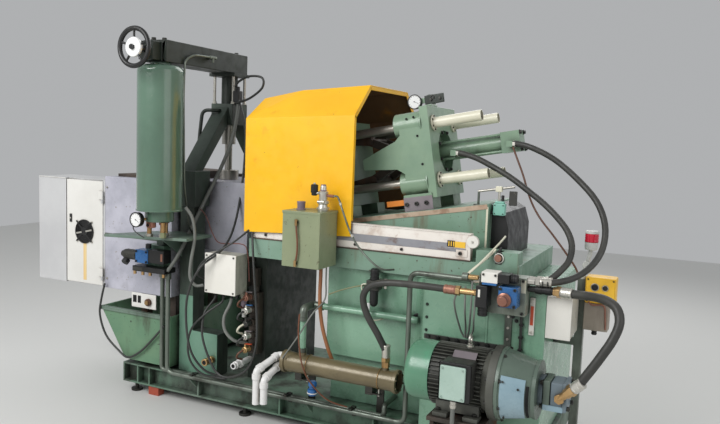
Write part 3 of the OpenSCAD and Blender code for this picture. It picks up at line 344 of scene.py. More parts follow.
def soften(obj, width, steps=2, angle=30):
    pick(obj)
    bpy.ops.object.modifier_add(type="BEVEL")
    bevel = obj.modifiers[-1]
    bevel.width = width / 1000
    bevel.segments = steps
    bevel.limit_method = "ANGLE"
    bevel.angle_limit = math.radians(angle)
    bpy.ops.object.modifier_apply(modifier=bevel.name)


def coat(obj, paint):
    obj.data.materials.clear()
    obj.data.materials.append(paints[paint])
    return obj


def block(lo, hi, paint, soft=2, where=machine):
    pickNothing()
    low, high = mm(*lo), mm(*hi)
    bpy.ops.mesh.primitive_cube_add(size=1, location=(low + high) / 2, scale=high - low)
    obj = bpy.context.object
    settle(obj, where)
    if soft:
        bpy.ops.object.mode_set(mode="EDIT")
        bpy.ops.mesh.bevel(offset=soft / 1000, segments=2, affect="EDGES")
        bpy.ops.object.mode_set(mode="OBJECT")
    return coat(obj, paint)


def turnTo(start, end):
    a, b = mm(*start), mm(*end)
    return Matrix.Translation(a) @ (b - a).to_track_quat("Z", "Y").to_matrix().to_4x4()


def bar(start, end, d, paint, soft=1.5, sides=32, where=machine):
    pickNothing()
    deep = (mm(*end) - mm(*start)).length
    bpy.ops.mesh.primitive_cylinder_add(vertices=sides, radius=d / 2000, depth=deep,
                                        location=(0, 0, deep / 2))
    obj = bpy.context.object
    settle(obj)
    settle(obj, where @ turnTo(start, end))
    if soft:
        soften(obj, soft, 2, 50)
    return coat(obj, paint)


# A profile is pairs of height and diameter, from the start towards the end
def turned(start, end, profile, paint, sides=48, where=machine):
    pickNothing()
    bpy.ops.mesh.primitive_circle_add(vertices=sides, radius=profile[0][1] / 2000, fill_type="NGON",
                                      location=(0, 0, profile[0][0] / 1000))
    obj = bpy.context.object
    settle(obj)
    bpy.ops.object.mode_set(mode="EDIT")
    bpy.ops.mesh.select_all(action="SELECT")
    for (h0, d0), (h1, d1) in zip(profile, profile[1:]):
        bpy.ops.mesh.extrude_region_move(TRANSFORM_OT_translate={"value": (0, 0, (h1 - h0) / 1000)})
        bpy.ops.transform.resize(value=(d1 / d0, d1 / d0, 1), center_override=(0, 0, h1 / 1000))
    bpy.ops.mesh.select_all(action="SELECT")
    bpy.ops.mesh.normals_make_consistent(inside=False)
    bpy.ops.object.mode_set(mode="OBJECT")
    settle(obj, where @ turnTo(start, end))
    return coat(obj, paint)


# The same two tools for a part that is given by its direction
def rod(start, facing, long, d, paint, soft=1.5, sides=32, where=machine):
    return bar(start, Vector(start) + Vector(facing) * long, d, paint, soft, sides, where)


def lathe(start, facing, profile, paint, sides=48, where=machine):
    return turned(start, Vector(start) + Vector(facing), profile, paint, sides, where)


def flatBetween(start, end, wide, thick, face, paint, soft=1, where=machine):
    pickNothing()
    a, b = mm(*start), mm(*end)
    along = (b - a).normalized()
    normal = Vector(face).normalized()
    across = normal.cross(along).normalized()
    normal = along.cross(across)
    bpy.ops.mesh.primitive_cube_add(size=1, scale=((b - a).length, wide / 1000, thick / 1000))
    obj = bpy.context.object
    settle(obj)
    turn = Matrix((along, across, normal)).transposed().to_4x4()
    settle(obj, where @ Matrix.Translation((a + b) / 2) @ turn)
    if soft:
        soften(obj, soft, 2, 40)
    return coat(obj, paint)


def outlined(outline, lo, hi, axis, paint, soft=2, where=machine):
    pickNothing()
    bpy.ops.mesh.primitive_circle_add(vertices=len(outline), fill_type="NGON")
    obj = bpy.context.object
    for vertex, (u, v) in zip(obj.data.vertices, outline):
        spots = {"x": (lo, u, v), "y": (u, lo, v), "z": (u, v, lo)}
        vertex.co = mm(*spots[axis])
    move = {"x": (1, 0, 0), "y": (0, 1, 0), "z": (0, 0, 1)}[axis]
    bpy.ops.object.mode_set(mode="EDIT")
    bpy.ops.mesh.select_all(action="SELECT")
    bpy.ops.mesh.extrude_region_move(TRANSFORM_OT_translate={"value": [(hi - lo) / 1000 * m for m in move]})
    bpy.ops.mesh.select_all(action="SELECT")
    bpy.ops.mesh.normals_make_consistent(inside=False)
    bpy.ops.object.mode_set(mode="OBJECT")
    settle(obj, where)
    if soft:
        soften(obj, soft, 2, 40)
    return coat(obj, paint)


def ring(centre, facing, d, thick, paint, where=machine, sides=48):
    pickNothing()
    bpy.ops.mesh.primitive_torus_add(major_radius=d / 2000, minor_radius=thick / 2000,
                                     major_segments=sides, minor_segments=12)
    obj = bpy.context.object
    settle(obj, where @ turnTo(centre, Vector(centre) + Vector(facing)))
    return coat(obj, paint)


def hexHead(place, facing, size, paint="darkSteel", where=machine):
    out = Vector(facing).normalized()
    base = Vector(place)
    rim = base + out * size * toolSet["washerTall"]
    washer = bar(base, rim, size * toolSet["washer"], paint, 0, 16, where)
    head = bar(rim, base + out * size * toolSet["headTall"], size, paint, size * 0.06, 6, where)
    return [washer, head]


def capHead(place, facing, size, paint="darkSteel", where=machine):
    out = Vector(facing).normalized()
    base = Vector(place)
    shape = [(0, size), (size * 0.55, size), (size * 0.62, size * 0.88), (size * 0.62, size * 0.5),
             (size * 0.3, size * 0.48)]
    return [turned(base, base + out, shape, paint, 16, where)]


# Screw heads at every meeting of the given x, y and z places
def listed(value):
    return [value] if isinstance(value, (int, float)) else value


def heads(xs, ys, zs, facing, size, paint="darkSteel", head=capHead, where=machine):
    spots = [(x, y, z) for x in listed(xs) for y in listed(ys) for z in listed(zs)]
    return [part for spot in spots for part in head(spot, facing, size, paint, where)]


def spaced(first, step, count):
    return [first + step * k for k in range(count)]


# Places on a circle, as pairs from its centre
def around(turns, reach):
    return [(reach * math.cos(math.radians(turn)), reach * math.sin(math.radians(turn))) for turn in turns]


def bent(points, bend, steps=6):
    points = [Vector(p) for p in points]
    way = [points[0]]
    for a, b, c in zip(points, points[1:], points[2:]):
        reach = min(bend, (a - b).length * 0.49, (c - b).length * 0.49)
        first, last = b + (a - b).normalized() * reach, b + (c - b).normalized() * reach
        for k in range(steps + 1):
            t = k / steps
            way.append(first * (1 - t) ** 2 + b * 2 * t * (1 - t) + last * t ** 2)
    return way + [points[-1]]


def smooth(points, steps=5):
    points = [Vector(p) for p in points]
    way = []
    for i in range(len(points) - 1):
        p0, p1, p2 = points[max(i - 1, 0)], points[i], points[i + 1]
        p3 = points[min(i + 2, len(points) - 1)]
        for k in range(steps):
            t = k / steps
            way.append(0.5 * (2 * p1 + (p2 - p0) * t + (2 * p0 - 5 * p1 + 4 * p2 - p3) * t ** 2
                              + (3 * p1 - p0 - 3 * p2 + p3) * t ** 3))
    return way + [points[-1]]


def line(points, d, paint, where=machine, sides=3, keep=False):
    pickNothing()
    curve = bpy.data.curves.new("run", "CURVE")
    curve.dimensions = "3D"
    curve.bevel_depth = d / 2000
    curve.bevel_resolution = sides
    curve.use_fill_caps = True
    spline = curve.splines.new("POLY")
    spline.points.add(len(points) - 1)
    for spot, place in zip(spline.points, points):
        spot.co = (*at(*place, where), 1)
    obj = bpy.data.objects.new("run", curve)
    bpy.context.scene.collection.objects.link(obj)
    if not keep:
        pick(obj)
        bpy.ops.object.convert(target="MESH")
        obj = bpy.context.object
    return coat(obj, paint)


def tube(points, d, paint, sides=3):
    return line(smooth(points, 6), d, paint, sides=sides)


def pipe(points, bend, d, paint, sides=8, steps=10):
    return line(bent(points, bend, steps), d, paint, sides=sides)


# A copy of the solid itself, with its flat faces merged and its edges broken
def dressed(node, paint, soft, steps=2, angle=30):
    pick(frame["nodes"][node])
    bpy.ops.object.duplicate()
    obj = bpy.context.object
    bpy.ops.object.parent_clear(type="CLEAR_KEEP_TRANSFORM")
    for key in list(obj.keys()):
        del obj[key]
    bpy.ops.object.mode_set(mode="EDIT")
    bpy.ops.mesh.select_all(action="SELECT")
    bpy.ops.mesh.remove_doubles(threshold=toolSet["merge"])
    bpy.ops.mesh.dissolve_limited(angle_limit=math.radians(toolSet["flat"]))
    bpy.ops.object.mode_set(mode="OBJECT")
    if soft:
        soften(obj, soft, steps, angle)
    return coat(obj, paint)


def piece(name, parts, body="machine", stands=()):
    pickNothing()
    for part in parts:
        part.select_set(True)
    obj = parts[0]
    bpy.context.view_layer.objects.active = obj
    if len(parts) > 1:
        bpy.ops.object.join()
    obj.name = name
    obj.data.name = name
    if obj.type == "MESH":
        bpy.ops.object.shade_smooth_by_angle(angle=math.radians(toolSet["smooth"]))
        bpy.ops.object.modifier_add(type="WEIGHTED_NORMAL")
        obj.modifiers[-1].keep_sharp = True
        bpy.ops.object.modifier_apply(modifier=obj.modifiers[-1].name)
    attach(obj, body)
    if stands:
        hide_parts(*stands)
    return obj


# Hoses first: their routes are the machine's own
hoses = {
    "hose_front": {"d": 30, "route": [
        (714, -90, 1546), (742, -90, 1546), (825, -103, 1526), (915, -130, 1490), (1025, -160, 1438),
        (1130, -198, 1376), (1215, -235, 1322), (1285, -270, 1268), (1345, -305, 1208), (1378, -345, 1145),
        (1378, -395, 1080), (1350, -436, 1035), (1315, -464, 998), (1284, -476, 985), (1254, -476, 985)]},
    "hose_rear": {"d": 30, "route": [
        (1012, -85, 1606), (1042, -85, 1606), (1110, -92, 1591), (1230, -115, 1537), (1350, -155, 1450),
        (1455, -205, 1350), (1508, -255, 1245), (1512, -310, 1140), (1475, -375, 1060), (1410, -440, 1008),
        (1338, -500, 989), (1286, -515, 985), (1254, -515, 985)]},
    "hose_pump": {"d": 40, "route": [
        (1466, -718, 572), (1494, -724, 600), (1534, -724, 662), (1580, -715, 740), (1620, -700, 815),
        (1640, -680, 885), (1622, -650, 938), (1570, -610, 960), (1500, -560, 958), (1430, -520, 950),
        (1378, -500, 948), (1350, -500, 948)]},
    "hose_cooler": {"d": 34, "route": [
        (930, -600, 918), (902, -600, 918), (780, -612, 922), (660, -620, 922), (560, -622, 915),
        (480, -620, 890), (442, -612, 840), (442, -600, 780), (465, -585, 715), (505, -565, 640),
        (540, -544, 560), (545, -540, 528), (545, -540, 500)]},
}


def makeHoses():
    for name, hose in hoses.items():
        way = smooth(hose["route"], 4)
        run = line(way, hose["d"], "hoseBlack", sides=6, keep=True)
        obj = piece(name + "_rubber", [run], stands=[name])


makeHoses()
print("hoses made")


# Plain castings and weldments: the solid's own form with its edges broken
edges = {
    "base_frame": ("baseGreen", 2, "light_green"), "levelling_feet": ("darkSteel", 2, "dark_steel"),
    "packing_block": ("packingRed", 2, "red_block"), "drip_pan": ("panGreen", 1.5, "light_green"),
    "furnace_legs": ("rustSteel", 2, "dark_steel"), "furnace_casing": ("casingSilver", 3, "furnace_sheet"),
    "furnace_cover": ("rustSteel", 4, "dark_steel"), "power_cabinet": ("cabinetShadeGrey", 3, "cabinet_white"),
    "nozzle": ("rustSteel", 3, "dark_steel"), "accumulator_shelf": ("shelfGreen", 2, "vessel_green"),
    "crossbeam": ("darkGreen", 4, "dark_green"), "injection_cylinder": ("darkGreen", 3, "dark_green"),
    "injection_head": ("columnGreen", 4, "dark_green"), "front_column": ("columnGreen", 4, "dark_green"),
    "rear_column": ("columnGreen", 4, "dark_green"), "bed": ("bedGreen", 4, "light_green"),
    "bed_pedestal": ("darkGreen", 3, "dark_green"), "fixed_platen": ("castGreen", 5, "light_green"),
    "moving_platen": ("castGreen", 5, "light_green"), "toggle_links": ("rustSteel", 3, "dark_steel"),
    "hydraulic_tank": ("tankGreen", 5, "light_green"), "plunger_rod": ("brightSteel", 2, "bright_steel"),
    "tie_bars": ("brightSteel", 2, "bright_steel"), "motor_base": ("rustSteel", 2, "dark_steel"),
    "button_post": ("pipeSteel", 2, "light_green"), "guard_rollers": ("darkSteel", 2, "dark_steel"),
}
bedSet = {"endShadeX": 964, "endShadeZ": 1032, "endShadeHalf": 0.24, "wayStart": (-340, -301.5, 1064),
          "wayEnd": (955, -301.5, 1292), "way": 24}
columnSet = {"seam": 640}
panSet = {"left": -1438, "right": -893}


def shadeBedEnd(bed):
    # Black on the bed's right end faces: painted shade
    bed.data.materials.append(paints["blackPaint"])
    start = at(bedSet["endShadeX"], 0, bedSet["endShadeZ"])
    for face in bed.data.polygons:
        inside = abs(face.center.y - start.y) < bedSet["endShadeHalf"]
        if face.center.x > start.x and face.center.z > start.z and inside:
            face.material_index = 1


def paintLitFront(column):
    seam = at(0, 0, columnSet["seam"])
    pick(column)
    bpy.ops.object.mode_set(mode="EDIT")
    bpy.ops.mesh.select_all(action="SELECT")
    bpy.ops.mesh.bisect(plane_co=seam, plane_no=upward)
    bpy.ops.object.mode_set(mode="OBJECT")
    # Front faces below the seam take the lighter green: painted light on the lit front
    column.data.materials.append(paints["columnLitGreen"])
    for face in column.data.polygons:
        if face.center.z < seam.z and face.normal.y < -0.3:
            face.material_index = 1


def dressPlain():
    for node, (paint, soft, slot) in edges.items():
        body = "guard" if node == "guard_rollers" else "machine"
        parts = [dressed(node, paint, soft)]
        if node == "front_column":
            paintLitFront(parts[0])
        if node == "bed":
            # The bed's right end is painted black as shade
            shadeBedEnd(parts[0])
            way = flatBetween(bedSet["wayStart"], bedSet["wayEnd"], bedSet["way"], 3, toFront, "wayRust", 0.5)
            parts += [way,
                      block((950, -302, 1036), (960, -300, 1290), "coverCream", 0.5)]
        if node == "drip_pan":
            left, right = panSet["left"], panSet["right"]
            parts += [block((left, -466, 484), (right, -456, 506), "shelfGreen", 3),
                      block((left, -468, 500), (right, -440, 508), "shelfGreen", 2)]
        piece(node + "_finished", parts, body, [node])
        print("  ", node)


dressPlain()
print("castings dressed")


# Accumulator bottle, its gauge and the fittings under it
bottle = {"x": -820, "y": -640, "low": 1166, "high": 1977, "d": 250, "neck": 160, "neckLow": 1104,
          "shelf": 1018, "legs": (90, 210, 330), "legReach": 54}


def makeAccumulator():
    x, y, d, neck = bottle["x"], bottle["y"], bottle["d"], bottle["neck"]
    neckLow, shelf = bottle["neckLow"], bottle["shelf"]
    flange, tall = bottle["low"] - neckLow, bottle["high"] - neckLow
    profile = [(0, neck - 10), (6, neck), (flange - 2, neck), (flange - 2, d - 6), (flange, d + 7),
               (flange + 6, d + 8), (flange + 8, d + 1), (flange + 12, d), (tall - 48, d), (tall - 36, d - 5),
               (tall - 26, d - 17), (tall - 19, d - 36), (tall - 14, d - 62), (tall - 12, 112), (tall, 110)]
    parts = [lathe((x, y, neckLow), upward, profile, "vesselGreen", 96)]
    for dx, dy in around(bottle["legs"], bottle["legReach"]):
        foot, top = (x + dx, y + dy, shelf), (x + dx, y + dy, neckLow)
        parts += [bar(foot, top, 26, "brass", 1, 24), rod(foot, upward, 16, 42, "zinc", 1, 6),
                  bar((x + dx, y + dy, neckLow - 16), top, 40, "copper", 1, 6)]
    piece("accumulator_bottle", parts, stands=["accumulator"])
    # The black disc in the copper fitting is painted shade in its bore
    fit = [rod((x - 4, y - 52, shelf + 54), upward, 32, 40, "copper", 3, 8),
           rod((x - 14, y - 76, shelf + 68), toRear, 24, 30, "copper", 2, 24),
           rod((x - 14, y - 78, shelf + 68), toRear, 2, 16, "holeShadeBlack", 0, 24),
           rod((x + 62, y - 40, shelf), upward, 30, 34, "oliveGreen", 2, 6),
           rod((x + 62, y - 40, shelf + 30), upward, 54, 26, "brass", 3, 24)]
    piece("accumulator_fittings", fit)


# A gauge's marks and hand, in degrees and radians
dial = {"marks": 11, "first": -135, "step": 27, "hand": -2.1}


def gauge(centre, facing, d, deep, where=machine):
    out = Vector(facing).normalized()
    c = Vector(centre)
    case = [(0, d * 0.8), (2, d * 0.94), (deep * 0.75, d * 0.94), (deep * 0.78, d), (deep, d),
            (deep + 1, d * 0.96), (deep + 1, d * 0.86), (deep - 3, d * 0.85)]
    parts = [turned(c, c + out, case, "blackPaint", 48, where),
             bar(c + out * (deep - 4), c + out * (deep - 2), d * 0.87, "dialWhite", 0, 48, where)]
    side = out.cross(Vector(upward)).normalized()
    up = side.cross(out)
    face = c + out * (deep - 1.8)
    for k in range(dial["marks"]):
        a = math.radians(dial["first"] + dial["step"] * k)
        spoke = side * math.sin(a) + up * math.cos(a)
        start, end = face + spoke * d * 0.33, face + spoke * d * 0.39
        parts.append(flatBetween(start, end, d * 0.02, 0.4, out, "blackPaint", 0, where))
    point = side * math.sin(dial["hand"]) + up * math.cos(dial["hand"])
    face = c + out * (deep - 1.2)
    start, end = face - point * d * 0.08, face + point * d * 0.3
    parts += [flatBetween(start, end, d * 0.022, 0.6, out, "blackPaint", 0, where),
              bar(face - out, face + out * 1.5, d * 0.07, "blackPaint", 0, 16, where)]
    return parts


def makeGauges():
    x, y, z = bottle["x"] - 50, bottle["y"] - bottle["neck"] / 2 - 25, bottle["neckLow"] + 15
    parts = gauge((x, y, z), toFront, 84, 30)
    parts += [bar((x, y, z), (x + 24, y + 50, z), 14, "brass", 1, 6),
              line(smooth([(x - 36, y - 6, z - 22), (x - 34, y - 8, z - 55), (x - 8, y - 6, z - 78),
                           (x + 22, y + 4, z - 96), (x + 26, y + 10, z - 101)]), 6, "cableBlack")]
    bracket = [(-40, 236), (-2, 236), (-2, 262), (30, 300), (-20, 306), (-40, 290)]
    parts += gauge((-90, -133, 276), toFront, 80, 30, clamp)
    parts += [block((-46, -150, 240), (0, -60, 252), "castGreen", 2, clamp),
              block((-36, -150, 252), (70, -135, 300), "darkGreen", 3, clamp),
              outlined(bracket, -136, -70, "y", "columnGreen", 4, clamp),
              block((-60, -150, 262), (-36, -140, 290), "castGreen", 2, clamp),
              ring((10, -152, 285), toFront, 18, 5, "darkSteel", clamp, 24)]
    parts += heads((0, 50), -150, 275, toFront, 14, head=hexHead, where=clamp)
    piece("gauges", parts, stands=["pressure_gauges"])


makeAccumulator()
makeGauges()
print("accumulator made")


# Handwheel on its own body, and the bolts and small pipes of the crossbeam
wheel = {"x": -820, "y": -845, "z": 2036, "d": 220, "rim": 26, "spokes": 5, "shaft": -670}
beam = {"top": 2095, "bolts": ((-845, -668), (-795, -640), (-845, -20), (-795, 30)), "rodX": (-890, -750),
        "rodY": (-60, 60), "rodLow": 1790, "rodHigh": 1957, "tee": (-712, -320, 2040)}


def makeHandwheel():
    x, y, z, rim = wheel["x"], wheel["y"], wheel["z"], wheel["rim"]
    hub = [(0, 60), (3, 96), (8, 104), (19, 104), (23, 98), (24, 40)]
    shaft = [(0, 29.6), (118, 29.6), (120, 44), (160, 44), (162, 24), (196, 24), (199, 20)]
    # The hub's face is painted white: a painted reflection
    parts = [ring((x, y, z), toFront, wheel["d"] - rim, rim, "blackPaint", sides=72),
             lathe((x, y + 12, z), toFront, hub, "dialWhite", 64),
             lathe((x, wheel["shaft"], z), toFront, shaft, "blackPaint", 32),
             rod((x, y - 12, z), toFront, 13, 30, "blackPaint", 1, 6)]
    turns = [90 + 360 / wheel["spokes"] * k for k in range(wheel["spokes"])]
    for (dx, dz), (farX, farZ) in zip(around(turns, 44), around(turns, 98)):
        parts.append(bar((x + dx, y, z + dz), (x + farX, y, z + farZ), 12, "blackPaint", 0, 16))
    piece("handwheel_rim", parts, "handwheel", ["handwheel"])


def makeBeamFittings():
    parts = []
    for x, y in beam["bolts"]:
        parts += hexHead((x, y, beam["top"]), upward, 26)
    for x in beam["rodX"]:
        for y in beam["rodY"]:
            parts.append(bar((x, y, beam["rodLow"]), (x, y, beam["rodHigh"]), 18, "brightSteel", 0, 24))
            parts += hexHead((x, y, beam["rodLow"]), upward, 26, "zinc")
    x, y, z = beam["tee"]
    feed = [(x, y - 30, z), (x - 6, -490, 2036), (-732, -545, 2000), (-735, -548, 1800), (-730, -540, 1300),
            (-740, -480, 1060), (-740, -440, 1019)]
    supply = [(-820, -80, 1745), (-820, -140, 1745), (-905, -160, 1745), (-915, -170, 1600),
              (-915, -200, 1325)]
    strut = [(-780, -120, 1690), (-850, -160, 1600), (-940, -200, 1500), (-960, -210, 1325)]
    parts += [bar((x - 28, y, z), (x + 4, y, z), 22, "pipeSteel", 1, 6),
              bar((x, y - 30, z), (x, y + 30, z), 20, "pipeSteel", 1, 6),
              rod((x, y, z), downward, 28, 16, "pipeSteel", 1, 16),
              pipe(feed, 50, 12, "pipeSteel", 3),
              block((-745, -72, 1800), (-700, -28, 1870), "blackPlastic", 5),
              rod((-722, -50, 1870), upward, 26, 26, "blackPlastic", 2, 6),
              rod((-722, -62, 1800), downward, 20, 22, "blackPlastic", 2, 6),
              pipe(supply, 40, 22, "darkGreen", 5, 6), pipe(strut, 30, 16, "pipeSteel", 4, 6)]
    piece("beam_fittings", parts)


makeHandwheel()
makeBeamFittings()
print("handwheel and beam made")


# Sliding guard: folded sheet with a lip round each open end, stopped above the rails
guardSet = {"ends": ((-385, 1693, 1813), (278, 1721, 1889)), "side": 447, "roof": 263, "lip": 24, "sheet": 4,
            "lipLow": 1174}


def makeGuard():
    hood = dressed("guard_hood", "guardOrange", 1.6, 3, 8)
    # Faces turned in towards the hood's middle take the dark brown: painted shade inside the hood
    hood.data.materials.append(paints["guardInsideShade"])
    heart = at(0, 0, 1400)
    for face in hood.data.polygons:
        toHeart = Vector((0, heart.y - face.center.y, heart.z - face.center.z))
        if abs(face.normal.x) < 0.5 and face.normal.dot(toHeart) > 0.02:
            face.material_index = 1
    parts = [hood]
    low, s, r, lip = guardSet["lipLow"], guardSet["side"], guardSet["roof"], guardSet["lip"]
    for x, mid, top in guardSet["ends"]:
        inward = 1 if x < 0 else -1
        outline = [(-s, low), (-s, mid), (-r, top), (r, top), (s, mid), (s, low)]
        for (y0, z0), (y1, z1) in zip(outline, outline[1:]):
            run = Vector((0, y1 - y0, z1 - z0)).normalized()
            into = Vector(toRight).cross(run) * -1
            shift = into * (lip / 2 + 1) + Vector((inward * 3, 0, 0))
            start = Vector((x, y0, z0)) + shift + run * 2
            end = Vector((x, y1, z1)) + shift - run * 2
            parts.append(flatBetween(start, end, lip, guardSet["sheet"], toRight, "guardOrange", 0.8))
    piece("guard_sheet", parts, "guard", ["guard_hood"])


makeGuard()
print("guard made")


# Guard rails along the bed, with the round stop and the marked plate at their end
rail = {"left": -345, "right": 918, "face": -430, "band": 798, "bandEnd": 895, "stop": (930, 1128),
        "stripes": 3, "screwX": (-250, 20, 300, 560)}


def makeRails():
    left, right, face, band = rail["left"], rail["right"], rail["face"], rail["band"]
    x, z = rail["stop"]
    parts = [dressed("guard_rails", "railCream", 2),
             block((left, face - 1.5, 1072), (band, face, 1112), "railGrey", 0.5),
             block((band, face - 1.5, 1072), (rail["bandEnd"], face, 1090), "railGrey", 0.5),
             block((left, face - 4, 1030), (right, face, 1036), "rustSteel", 1),
             block((left, face - 3, 1160), (right, face, 1165), "railCream", 1),
             rod((x, face - 9, z), toFront, 5, 58, "boxWhite", 1, 48)]
    parts += hexHead((x, face - 14, z), toFront, 9, "zinc")
    parts += [block((800, face - 2, 1093), (838, face, 1125), "blackPlastic", 0.5),
              block((838, face - 2, 1093), (892, face, 1122), "yellowPlastic", 0.5),
              block((846, face - 3, 1050), (904, face + 0.5, 1084), "railCream", 1)]
    for k in range(rail["stripes"]):
        x = 806 + 12 * k
        parts.append(block((x, face - 3, 1097), (x + 5, face, 1121), "yellowPlastic", 0.3))
    parts += capHead((868, face, 1066), toFront, 18)
    parts += heads(rail["screwX"], face, 1056, toFront, 14)
    piece("guard_rail_bars", parts, stands=["guard_rails"])


makeRails()
print("rails made")


# Toggle clamp: tail platen, covers over the tie bars, closing cylinder
platen = {"bossY": -165, "bossZ": (-155, 155), "plugs": ((-80, 190), (-120, 186), (-70, 90), (-60, -60)),
          "plugY": -231, "screwX": (-170, -115, -60)}
sleeve = {"y": (-165, 165), "z": (-150, 150), "screws": range(30, 360, 60), "reach": 35}
closing = {"bolts": range(8), "reach": 108.36, "rod": (-44, 44),
           "ports": ((714, -90, 1546), (1012, -85, 1606))}


def makeTailPlaten():
    parts = [dressed("tail_platen", "castGreen", 5, 3, 35)]
    boss = [(0, 134), (2, 146), (8, 146), (9, 138)]
    for z in platen["bossZ"]:
        parts.append(lathe((-52, platen["bossY"], z), toRight, boss, "castGreen", 64, clamp))
    # Black discs on the platen: painted shade in its plug holes
    for x, z in platen["plugs"]:
        parts.append(rod((x, platen["plugY"], z), toFront, 3, 12, "holeShadeBlack", 0.6, 20, clamp))
    parts += heads(platen["screwX"], -236, -262, toFront, 22, where=clamp)
    parts += [block((-187, -237.5, -299), (-26, -236, -226), "plateGrey", 0.5, clamp),
              block((-290, -232, -266), (-189, -176, -236), "orangePlate", 2, clamp)]
    piece("tail_platen_casting", parts, stands=["tail_platen"])
    covers = [dressed("tie_bar_covers", "coverCream", 2, 2, 40)]
    for y in sleeve["y"]:
        for z in sleeve["z"]:
            for dy, dz in around(sleeve["screws"], sleeve["reach"]):
                covers += hexHead((10, y + dy, z + dz), toRight, 8, where=clamp)
    piece("tie_bar_sleeves", covers, stands=["tie_bar_covers"])


def makeClosingCylinder():
    parts = [dressed("closing_cylinder", "castGreen", 3, 2, 40)]
    for y, z in around([22.5 + 45 * k for k in closing["bolts"]], closing["reach"]):
        parts += hexHead((0.5, y, z), toRight, 16, where=clamp)
    parts += heads(420, closing["rod"], closing["rod"], toRight, 20, head=hexHead, where=clamp)
    for x, y, z in closing["ports"]:
        parts.append(bar((x - 2, y, z), (x + 14, y - 1, z - 1), 34, "zinc", 1, 6))
    piece("closing_cylinder_body", parts, stands=["closing_cylinder"])


makeTailPlaten()
makeClosingCylinder()
print("clamp made")


# Power cabinet door with its round fan grille and its latch
door = {"x": -1594, "z": 958, "face": -440, "fan": 150, "rings": (70, 92, 114, 136, 148),
        "ears": (45, 135, 225, 315), "earReach": 90, "latch": 1036}


def makeDoor():
    x, z, face, latch = door["x"], door["z"], door["face"], door["latch"]
    parts = [dressed("cabinet_door", "cabinetWhite", 2.5, 2, 40),
             rod((x, face, z), toFront, 3, door["fan"], "blackPlastic", 1, 48),
             lathe((x, face - 3, z), toFront, [(0, 60), (4, 56), (6, 40)], "blackPaint", 32)]
    for wide in door["rings"]:
        parts.append(ring((x, face - 6, z), toFront, wide, 4, "blackPaint", sides=40))
    for (dx, dz), (nearX, nearZ) in zip(around(door["ears"], door["earReach"]), around(door["ears"], 20)):
        parts.append(flatBetween((x + nearX, face - 7, z + nearZ), (x + dx, face - 7, z + dz), 9, 4, toFront,
                                 "blackPaint", 1))
        parts += capHead((x + dx, face - 3, z + dz), toFront, 9, "zinc")
    # Two bright zinc flats across the fan are painted glints on its blades
    parts += [flatBetween((x - 64, face - 9, z - 15), (x - 18, face - 9, z - 5), 10, 1, toFront, "zinc", 0),
              flatBetween((x + 16, face - 9, z + 2), (x + 66, face - 9, z + 14), 10, 1, toFront, "zinc", 0),
              block((x - 128, face - 4, latch - 26), (x - 108, face, latch + 26), "blackPlastic", 2),
              rod((x - 118, face - 4, latch), toFront, 4, 12, "zinc", 1, 20),
              block((x - 11, face - 0.6, 648), (x + 16, face, z - 76), "rustRun", 0)]
    piece("cabinet_door_panel", parts, "cabinet_door", ["cabinet_door"])


def makeCabinetTrim():
    face = door["face"]
    # The two black blocks on the small white box are painted shade
    parts = [block((-1424, face - 1.5, 950), (-905, face, 966), "pipeSteel", 0.5),
             block((-1990, face - 4, 1286), (-1757, face, 1290), "cabinetWhite", 1),
             block((-1200, face - 6, 530), (-1010, face, 620), "cabinetWhite", 3),
             block((-1188, face - 8, 560), (-1160, face - 5, 604), "holeShadeBlack", 1),
             block((-1150, face - 8, 560), (-1126, face - 5, 604), "holeShadeBlack", 1),
             rod((-1064, face - 6, 572), toFront, 16, 44, "rustSteel", 2, 24),
             rod((-1064, face - 22, 572), toFront, 10, 30, "brass", 2, 6)]
    for z in (680, 1250):
        parts += heads((-1404, -920), face, z, toFront, 12, "zinc")
    piece("casing_trim", parts)


makeDoor()
makeCabinetTrim()
print("cabinet made")


# Solenoid valves beside the furnace
def makeFurnaceValves():
    coil = [(0, 50), (6, 50), (8, 62), (88, 62), (96, 58), (106, 54), (112, 40), (125, 36)]
    parts = [block((-1040, -500, 813), (-905, -440, 937), "lightGreen", 3),
             block((-1060, -570, 835), (-965, -500, 913), "valveBlue", 4),
             block((-965, -568, 843), (-850, -502, 919), "blackPaint", 4),
             block((-872, -569.5, 858), (-858, -540, 902), "copper", 1),
             block((-1090, -560, 782), (-850, -460, 813), "blackPaint", 3),
             lathe((-1060, -535, 873), toLeft, coil, "darkSteel", 40),
             bar((-1150, -538, 842), (-1150, -560, 822), 44, "blackPlastic", 3, 8),
             rod((-990, -535, 919), upward, 29, 34, "blackPlastic", 2, 24),
             block((-1086, -562, 788), (-1010, -556, 807), "darkSteel", 1)]
    parts += heads((-1050, -975), -570, (845, 903), toFront, 12, "blackPaint")
    for x in (-1080, -1020, -965, -865):
        parts.append(rod((x, -548, 782), downward, 20, 20, "brass", 1, 6))
    for x, y in ((-870, -503), (-935, -475)):
        parts.append(rod((x, y, 782), downward, 36, 40, "pipeSteel", 2, 6))
    piece("furnace_valve_group", parts, stands=["furnace_valves"])


# White terminal boxes with their arms and cable glands
boxSet = {"small": ((-595, -520, 707), (-385, -400, 935)), "tall": ((1300, -456, 717), (1414, -236, 914)),
          "inset": 14, "arms": (737, 875), "glands": (-560, -505, -450, -415)}


def terminalBox(lo, hi, screws=True):
    x0, y0, z0 = lo
    x1, y1, z1 = hi
    # The box body behind the lid takes the darker side colour: painted shade on its sides
    parts = [block((x0 + 2, y0 + 12, z0 + 2), (x1 - 2, y1, z1 - 2), "boxShadedSide", 5),
             block((x0, y0, z0), (x1, y0 + 10, z1), "boxWhite", 4)]
    inset = boxSet["inset"]
    if screws:
        parts += heads((x0 + inset, x1 - inset), y0, (z0 + inset, z1 - inset), toFront, 9)
    return parts


